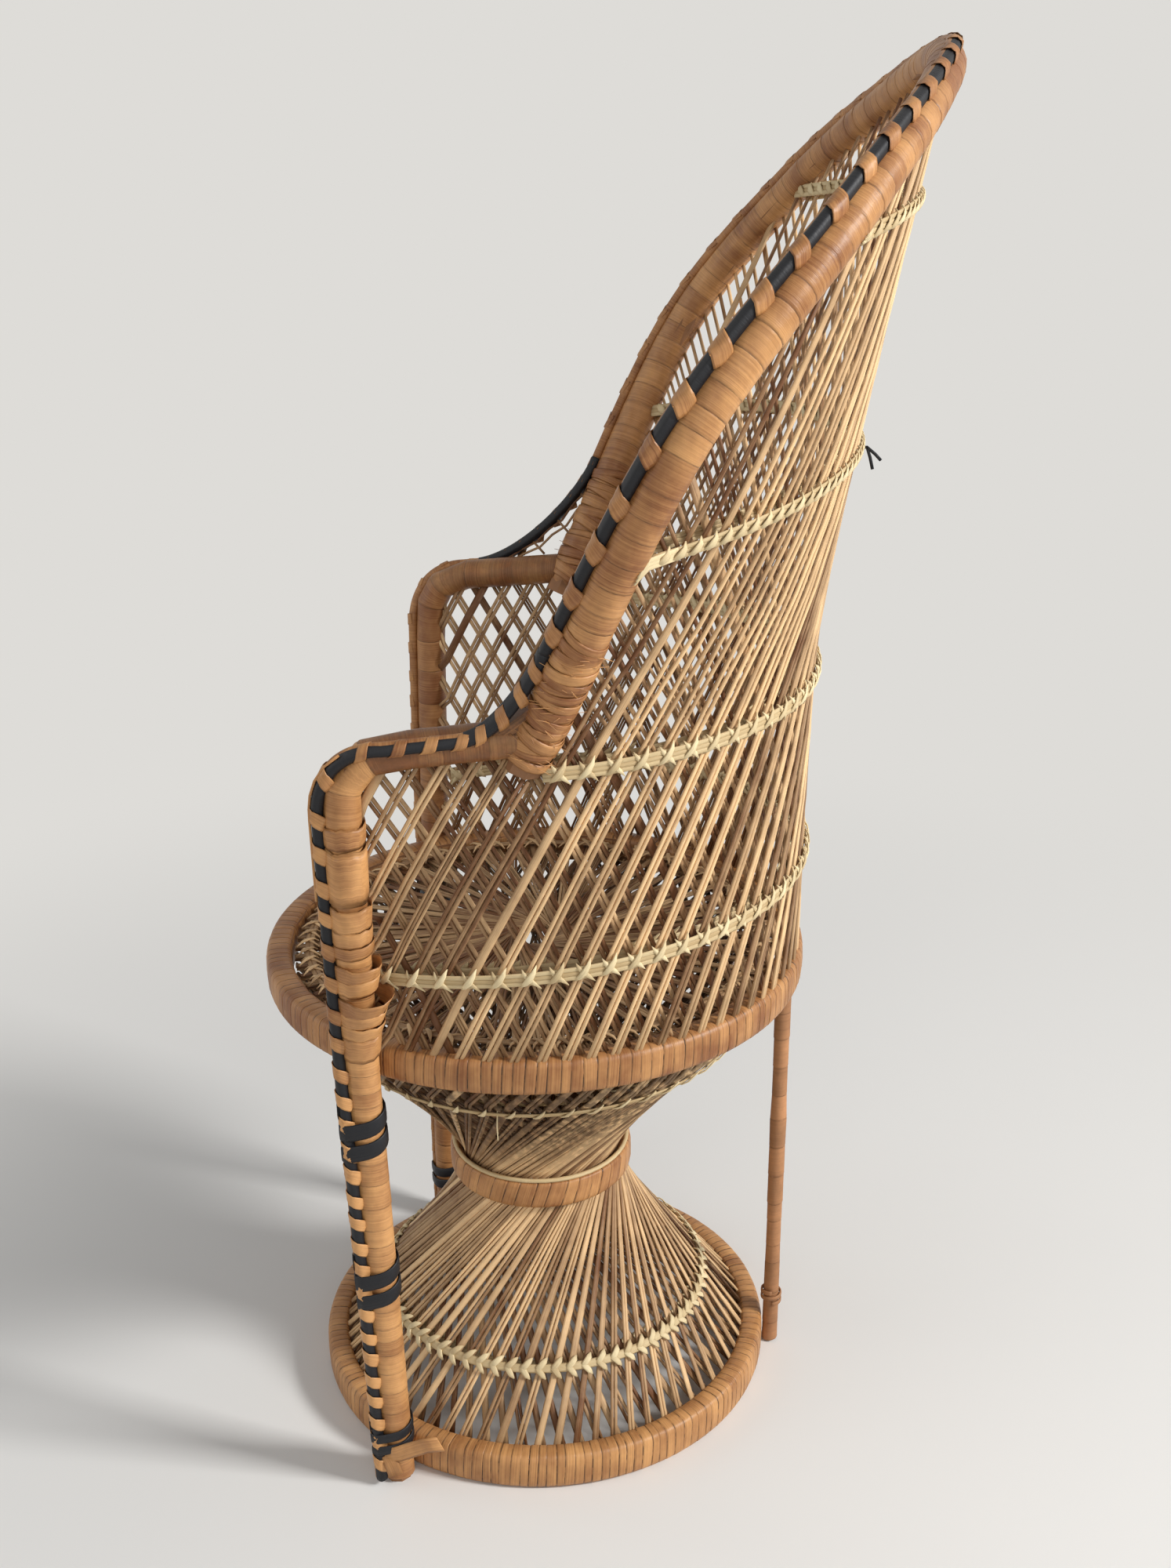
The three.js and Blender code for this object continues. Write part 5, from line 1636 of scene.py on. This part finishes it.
class CHAIR_OT_bind_legs(bpy.types.Operator):
    """Winds the black strips round the front legs, and adds the loose tie and the rear leg's tie"""

    bl_idname = "chair.bind_legs"
    bl_label = "Bind Legs"

    def execute(self, context):
        colours = context.scene.chair_colours
        black = dyed_peel(colours)
        full = context.scene.chair_sizes.binding_width / MM
        for label, (_, line) in LEGS.items():
            for name, place, turns in BINDINGS:
                up, front = line.tangent(place), leg_edge(label, place)[1]
                pitch, width = BINDING_PITCH * turns, full * (turns / WIDEST_TURNS)
                bound = winding(line.at(place), up, front, leg_reach, pitch, width)
                node = f"leg_binding_{name}_{label}"
                add_piece(f"leg_strip_{name}_{label}", [bound], black, "black", node)
        band_level = BACK_BANDS[LOOSE_TIE_BAND - 1]
        centre, along, up, out = back_places(1, band_level, (LOOSE_TIE_ANGLE,), BAND_LIFT)[0]
        ends = []
        for drop, reach in ((-9, 8), (-4, 11)):
            hanging = ((0, 0), (3, 1), (reach * 0.7, drop * 0.4), (reach, drop))
            ends.append(strip([centre + out * a + up * b for a, b in hanging], along, 1.6, 1.0, 0.3))
        add_piece("loose_tie", ends, black, "black", f"back_twine_{LOOSE_TIE_BAND}_outer")
        rise = (REAR_TOP - REAR_FOOT).normalized()
        tie = winding(
            REAR_FOOT + rise * REAR_TIE_PLACE, rise, ACROSS, lambda angle: REAR_RADIUS + BINDING_LIFT,
            REAR_TIE_PITCH, REAR_TIE_WIDTH,
        )
        add_piece("rear_tie", [tie], bark(colours), "stick", "rear_leg_tie")
        return {"FINISHED"}


class CHAIR_OT_shape_rear_leg(bpy.types.Operator):
    """Makes the slender rear leg, a stick with its bark on"""

    bl_idname = "chair.shape_rear_leg"
    bl_label = "Shape Rear Leg"

    def execute(self, context):
        line = Line([REAR_FOOT.lerp(REAR_TOP, i / 40) for i in range(41)])

        def radius_at(length):
            shares = [math.exp(-(((length - knot) / REAR_KNOT_HALF_LENGTH) ** 2)) for knot in REAR_KNOTS]
            wave = REAR_WAVE * math.sin(length / REAR_WAVE_LENGTH)
            return REAR_RADIUS - BARK_THINNER + wave + REAR_KNOT_HEIGHT * sum(shares)

        turns = peel_on_pole(
            line, 1, line.length, radius_at, lambda tangent: ACROSS, lambda length: BARK_PITCH,
            lambda length: BARK_TONES, SEED + 60, BARK_SLANT,
        )
        add_piece("rear_stick", [turns], bark(context.scene.chair_colours), "stick", "rear_leg")
        return {"FINISHED"}


GUSSET_TURNS = 18
GUSSET_START = 0.08  # along the corner, as a share of its reach, and how far it goes
GUSSET_RUN = 0.76


def gusset(draw):
    """Peel wound across the left corner between the arm and the hoop."""
    _, leg = LEGS["left"]
    arm_reach, hoop_reach = CORNERS["left"]
    stations, tones, dirt_and_shade = [], [], []
    for i in range(GUSSET_TURNS + 1):
        share = GUSSET_START + GUSSET_RUN * i / GUSSET_TURNS
        on_arm = leg.at(leg.length - arm_reach * share)
        on_hoop = HOOP.at(hoop_reach * share)
        span = (on_hoop - on_arm) / 2
        middle = (on_hoop + on_arm) / 2
        out = span.cross(middle - ELBOW).normalized()
        stations.append((middle, span, out * (8 - 2.5 * share - 0.5 * (i % 2))))
        # Painted shade in the corner: dark tones and a darkening of every turn; the odd turns darken
        # more at their seams
        tones.append(draw.uniform(0.0, 0.25))
        dirt_and_shade.append(0.9 if i % 2 else 0.4)
    return swept(stations, 12, tones, dirt_and_shade, section=FLAT, around=True)


# Canes of the right corner: uprights by their share of the way from arm to hoop, and rows by their
# share of the way up to the braid, which sway from one upright to the next
WEB_UPRIGHTS = (0.22, 0.4, 0.58, 0.76)
WEB_ROWS = (0.45, 0.75)
WEB_ROW_START = 0.12
WEB_ROW_RUN = 0.76
WEB_ROW_STEPS = 8
WEB_SWAY = 0.06
WEB_CANE = 1.5


class CHAIR_OT_web_corners(bpy.types.Operator):
    """Spans the right corner between arm and hoop with cane, and the left one with peel"""

    bl_idname = "chair.web_corners"
    bl_label = "Web Corners"

    def execute(self, context):
        cane = split_cane(context.scene.chair_colours)
        draw = random.Random(SEED + 74)
        _, leg = LEGS["right"]
        arm_reach, hoop_reach = CORNERS["right"]
        edge = leg_run("right")
        corner = round((leg.length - arm_reach - BRAID_START) / BRAID_STEP)

        def web_point(share, height):
            """A point between the crotch of the corner and its braid."""
            top = edge[corner + round(share * (len(edge) - 1 - corner))][0]
            on_arm = leg.at(leg.length - arm_reach * (1 - share))
            on_hoop = HOOP.at(HOOP.length - hoop_reach * share)
            return on_arm.lerp(on_hoop, share).lerp(top, height)

        routes = [[web_point(share, height) for height in (0, 0.55, 1)] for share in WEB_UPRIGHTS]
        for height in WEB_ROWS:
            row = []
            for i in range(WEB_ROW_STEPS + 1):
                share = WEB_ROW_START + WEB_ROW_RUN * i / WEB_ROW_STEPS
                row.append(web_point(share, height + WEB_SWAY * (-1) ** i))
            routes.append(row)
        parts = [strip(points, ACROSS, WEB_CANE, WEB_CANE, draw.uniform(0.0, 0.4)) for points in routes]
        add_piece("corner_cane_right", parts, cane, "strand", "corner_web_right")
        filling = gusset(random.Random(SEED + 79))
        peel = rattan_peel(context.scene.chair_colours)
        add_piece("corner_filling_left", [filling], peel, "strand", "corner_web_left")
        return {"FINISHED"}


# Slipped and loose peel

# Slipped turns: top and bottom along the left leg, and how far both edges stand off at the back
LOOSE_TURNS = (
    (409, 398, 1.2, 0.4),
    (397, 368, 0.8, 0.1),
    (366, 353, 1.6, 0.3),
    (354, 345, 1.2, 0.4),
    (346, 339, 1.5, 0.2),
    (334, 325, 5.0, 2.0),
    (327, 318, 3.6, 1.4),
    (316, 306, 11.0, 4.5),
    (308, 300, 6.5, 3.0),
    (301, 293, 5.0, 1.8),
    (294, 280, 2.2, 0.3),
)


def loose_turn(line, top, bottom, stand_top, stand_bottom, draw):
    """A slipped turn, tight at the front and standing off towards the back with a torn edge."""
    middle, half = (top + bottom) / 2, (top - bottom) / 2
    jags = [draw.uniform(-0.8, 0.8) for _ in range(RING_STEPS)]
    tight = LEG_RADIUS + draw.uniform(0.3, 0.6)

    def edges(angle):
        share = max(0, math.cos(angle)) ** 1.5
        jag = jags[round(angle / math.tau * RING_STEPS) % RING_STEPS]
        lower = (tight + stand_bottom * share, -half + jag * 0.5)
        upper = (tight + stand_top * share, half + jag + 0.15 * stand_top * share)
        return lower, upper

    back = Vector((0.45, 1, 0))
    return ring_strip(line.at(middle), line.tangent(middle), back, edges, 0.6, draw.uniform(0.35, 0.85))


# Torn peel at the left foot, in steps from the outer side of the leg
FOOT_PLACE = 24
FOOT_FLAP = ((0, -5, -2), (1.5, 2, 0), (2.2, 10, 4), (3.2, 18, 8), (6, 27, 12))
FOOT_SCRAP = ((0, -4, -2), (1, -1, -8), (2.0, 1, -14))
FRONT_CANE = range(368, 446, 6)  # places along the left leg of the thin cane on its braid


class CHAIR_OT_loosen_peel(bpy.types.Operator):
    """Adds the slipped turns on the left leg, the flap at its foot and the thin cane at its front"""

    bl_idname = "chair.loosen_peel"
    bl_label = "Loosen Peel"

    def execute(self, context):
        peel = rattan_peel(context.scene.chair_colours)
        line = LEGS["left"][1]
        draw = random.Random(SEED + 90)
        parts = [loose_turn(line, *turn, draw) for turn in LOOSE_TURNS]
        foot = line.at(FOOT_PLACE) + ACROSS * (LEG_RADIUS + 0.6)
        for steps, width, tone in ((FOOT_FLAP, 10.5, 0.7), (FOOT_SCRAP, 9, 0.6)):
            parts.append(strip([foot + Vector(step) for step in steps], ACROSS, width, 0.6, tone))
        along_front = []
        for length in FRONT_CANE:
            place, normal = leg_edge("left", length)
            along_front.append(place + normal * (RIDGE_HALF_HEIGHT + 0.9))
        parts.append(strip(along_front, ACROSS, 1.3, 1.1, 0.7))
        add_piece("loose_peel", parts, peel, "peel", "front_leg_wrap_left")
        return {"FINISHED"}


class CHAIR_OT_finish_inner(bpy.types.Operator):
    """Gives the bent strips, poles and nails inside the wraps their finish"""

    bl_idname = "chair.finish_inner"
    bl_label = "Finish Inner Pieces"

    def execute(self, context):
        wood, wire = bark(context.scene.chair_colours), nail_wire()
        for name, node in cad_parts.items():
            if node.hide_render:
                continue
            node.data.materials.clear()
            node.data.materials.append(wire if "nail" in name else wood)
        return {"FINISHED"}


# Stage

# The camera, about the axis of the base hoop
EYE = Vector((892.4, 78.1, 715.5))
FORWARD = Vector((-0.9298, -0.0505, -0.3644)).normalized()
ROLL = -0.0147
LENS = 27.0
SENSOR = 24.0
# Lamps: name, place and size in metres, and power
LAMPS = (
    ("Key", (0.7, 2.2, 1.65), 0.55, 72),
    ("Fill", (2.0, 0.2, 1.1), 1.6, 8),
    ("Front", (0.4, -2.1, 1.2), 1.6, 11),
)
LAMP_AIM = Vector((0, 0, 0.35))
FLOOR_HALF_SIZE = 6
SKY = (0.9, 0.92, 0.95, 1)
SKY_STRENGTH = 0.3


def add_lamp(name, place, size, power):
    lamp = bpy.data.lights.new(name, "AREA")
    lamp.size = size
    lamp.energy = power
    holder = bpy.data.objects.new(name, lamp)
    holder.location = place
    holder.rotation_euler = (LAMP_AIM - Vector(place)).to_track_quat("-Z", "Y").to_euler()
    bpy.context.scene.collection.objects.link(holder)


class CHAIR_OT_set_stage(bpy.types.Operator):
    """Sets the floor, the soft lamps, the pale world and the camera"""

    bl_idname = "chair.set_stage"
    bl_label = "Set Stage"

    def execute(self, context):
        scene = context.scene
        bm = bmesh.new()
        bmesh.ops.create_grid(bm, x_segments=1, y_segments=1, size=FLOOR_HALF_SIZE)
        mesh = bpy.data.meshes.new("floor")
        bm.to_mesh(mesh)
        bm.free()
        floor = bpy.data.objects.new("floor", mesh)
        scene.collection.objects.link(floor)
        mesh.materials.append(studio_floor(scene.chair_colours))

        world = bpy.data.worlds.new("Studio")
        scene.world = world
        world.use_nodes = True
        tree = world.node_tree
        sky = tree.nodes["Background"]
        sky.inputs["Color"].default_value = SKY
        sky.inputs["Strength"].default_value = SKY_STRENGTH
        backdrop = add_node(tree, "ShaderNodeBackground", {"Color": (*BACKDROP, 1), "Strength": 1})
        sides = {0: seen_directly(tree), 1: sky.outputs[0], 2: backdrop.outputs[0]}
        both = add_node(tree, "ShaderNodeMixShader", sides)
        tree.links.new(both.outputs[0], tree.nodes["World Output"].inputs["Surface"])
        for lamp in LAMPS:
            add_lamp(*lamp)
        scene.view_settings.view_transform = "Standard"

        right = FORWARD.cross(UP).normalized()
        top = right.cross(FORWARD)
        c, s = math.cos(ROLL), math.sin(ROLL)
        x, y = right * c + top * s, top * c - right * s
        camera = bpy.data.cameras.new("Camera")
        camera.sensor_fit = "VERTICAL"
        camera.sensor_height = SENSOR
        camera.lens = LENS
        camera.clip_start = 0.01
        holder = bpy.data.objects.new("Camera", camera)
        axes = Matrix((x, y, -FORWARD)).transposed()
        holder.matrix_world = Matrix.Translation(EYE * MM + Vector((0, AXIS_Y, 0))) @ axes.to_4x4()
        scene.collection.objects.link(holder)
        scene.camera = holder
        return {"FINISHED"}


STEPS = (
    CHAIR_OT_set_stage,
    CHAIR_OT_wrap_hoops,
    CHAIR_OT_wrap_poles,
    CHAIR_OT_bunch_elbows,
    CHAIR_OT_loosen_peel,
    CHAIR_OT_weave_pedestal,
    CHAIR_OT_weave_back,
    CHAIR_OT_weave_seat,
    CHAIR_OT_twine_bands,
    CHAIR_OT_plait_edges,
    CHAIR_OT_bind_legs,
    CHAIR_OT_shape_rear_leg,
    CHAIR_OT_web_corners,
    CHAIR_OT_finish_inner,
)


class CHAIR_PT_panel(bpy.types.Panel):
    """Sizes, colours and steps of the chair"""

    bl_idname = "CHAIR_PT_panel"
    bl_label = "Peacock Chair"
    bl_space_type = "VIEW_3D"
    bl_region_type = "UI"
    bl_category = "Chair"

    def draw(self, context):
        for settings in (context.scene.chair_sizes, context.scene.chair_colours):
            for name in settings.__annotations__:
                self.layout.prop(settings, name)
        for step in STEPS:
            self.layout.operator(step.bl_idname)


CLASSES = (ChairSizes, ChairColours, *STEPS, CHAIR_PT_panel)


def register():
    for cls in CLASSES:
        bpy.utils.register_class(cls)
    bpy.types.Scene.chair_sizes = bpy.props.PointerProperty(type=ChairSizes)
    bpy.types.Scene.chair_colours = bpy.props.PointerProperty(type=ChairColours)


def unregister():
    del bpy.types.Scene.chair_colours
    del bpy.types.Scene.chair_sizes
    for cls in reversed(CLASSES):
        bpy.utils.unregister_class(cls)


def main():
    register()
    bpy.ops.chair.set_stage()
    bpy.ops.chair.wrap_hoops()
    bpy.ops.chair.wrap_poles()
    bpy.ops.chair.bunch_elbows()
    bpy.ops.chair.loosen_peel()
    bpy.ops.chair.weave_pedestal()
    bpy.ops.chair.weave_back()
    bpy.ops.chair.weave_seat()
    bpy.ops.chair.twine_bands()
    bpy.ops.chair.plait_edges()
    bpy.ops.chair.bind_legs()
    bpy.ops.chair.shape_rear_leg()
    bpy.ops.chair.web_corners()
    bpy.ops.chair.finish_inner()


if __name__ == "__main__":
    main()
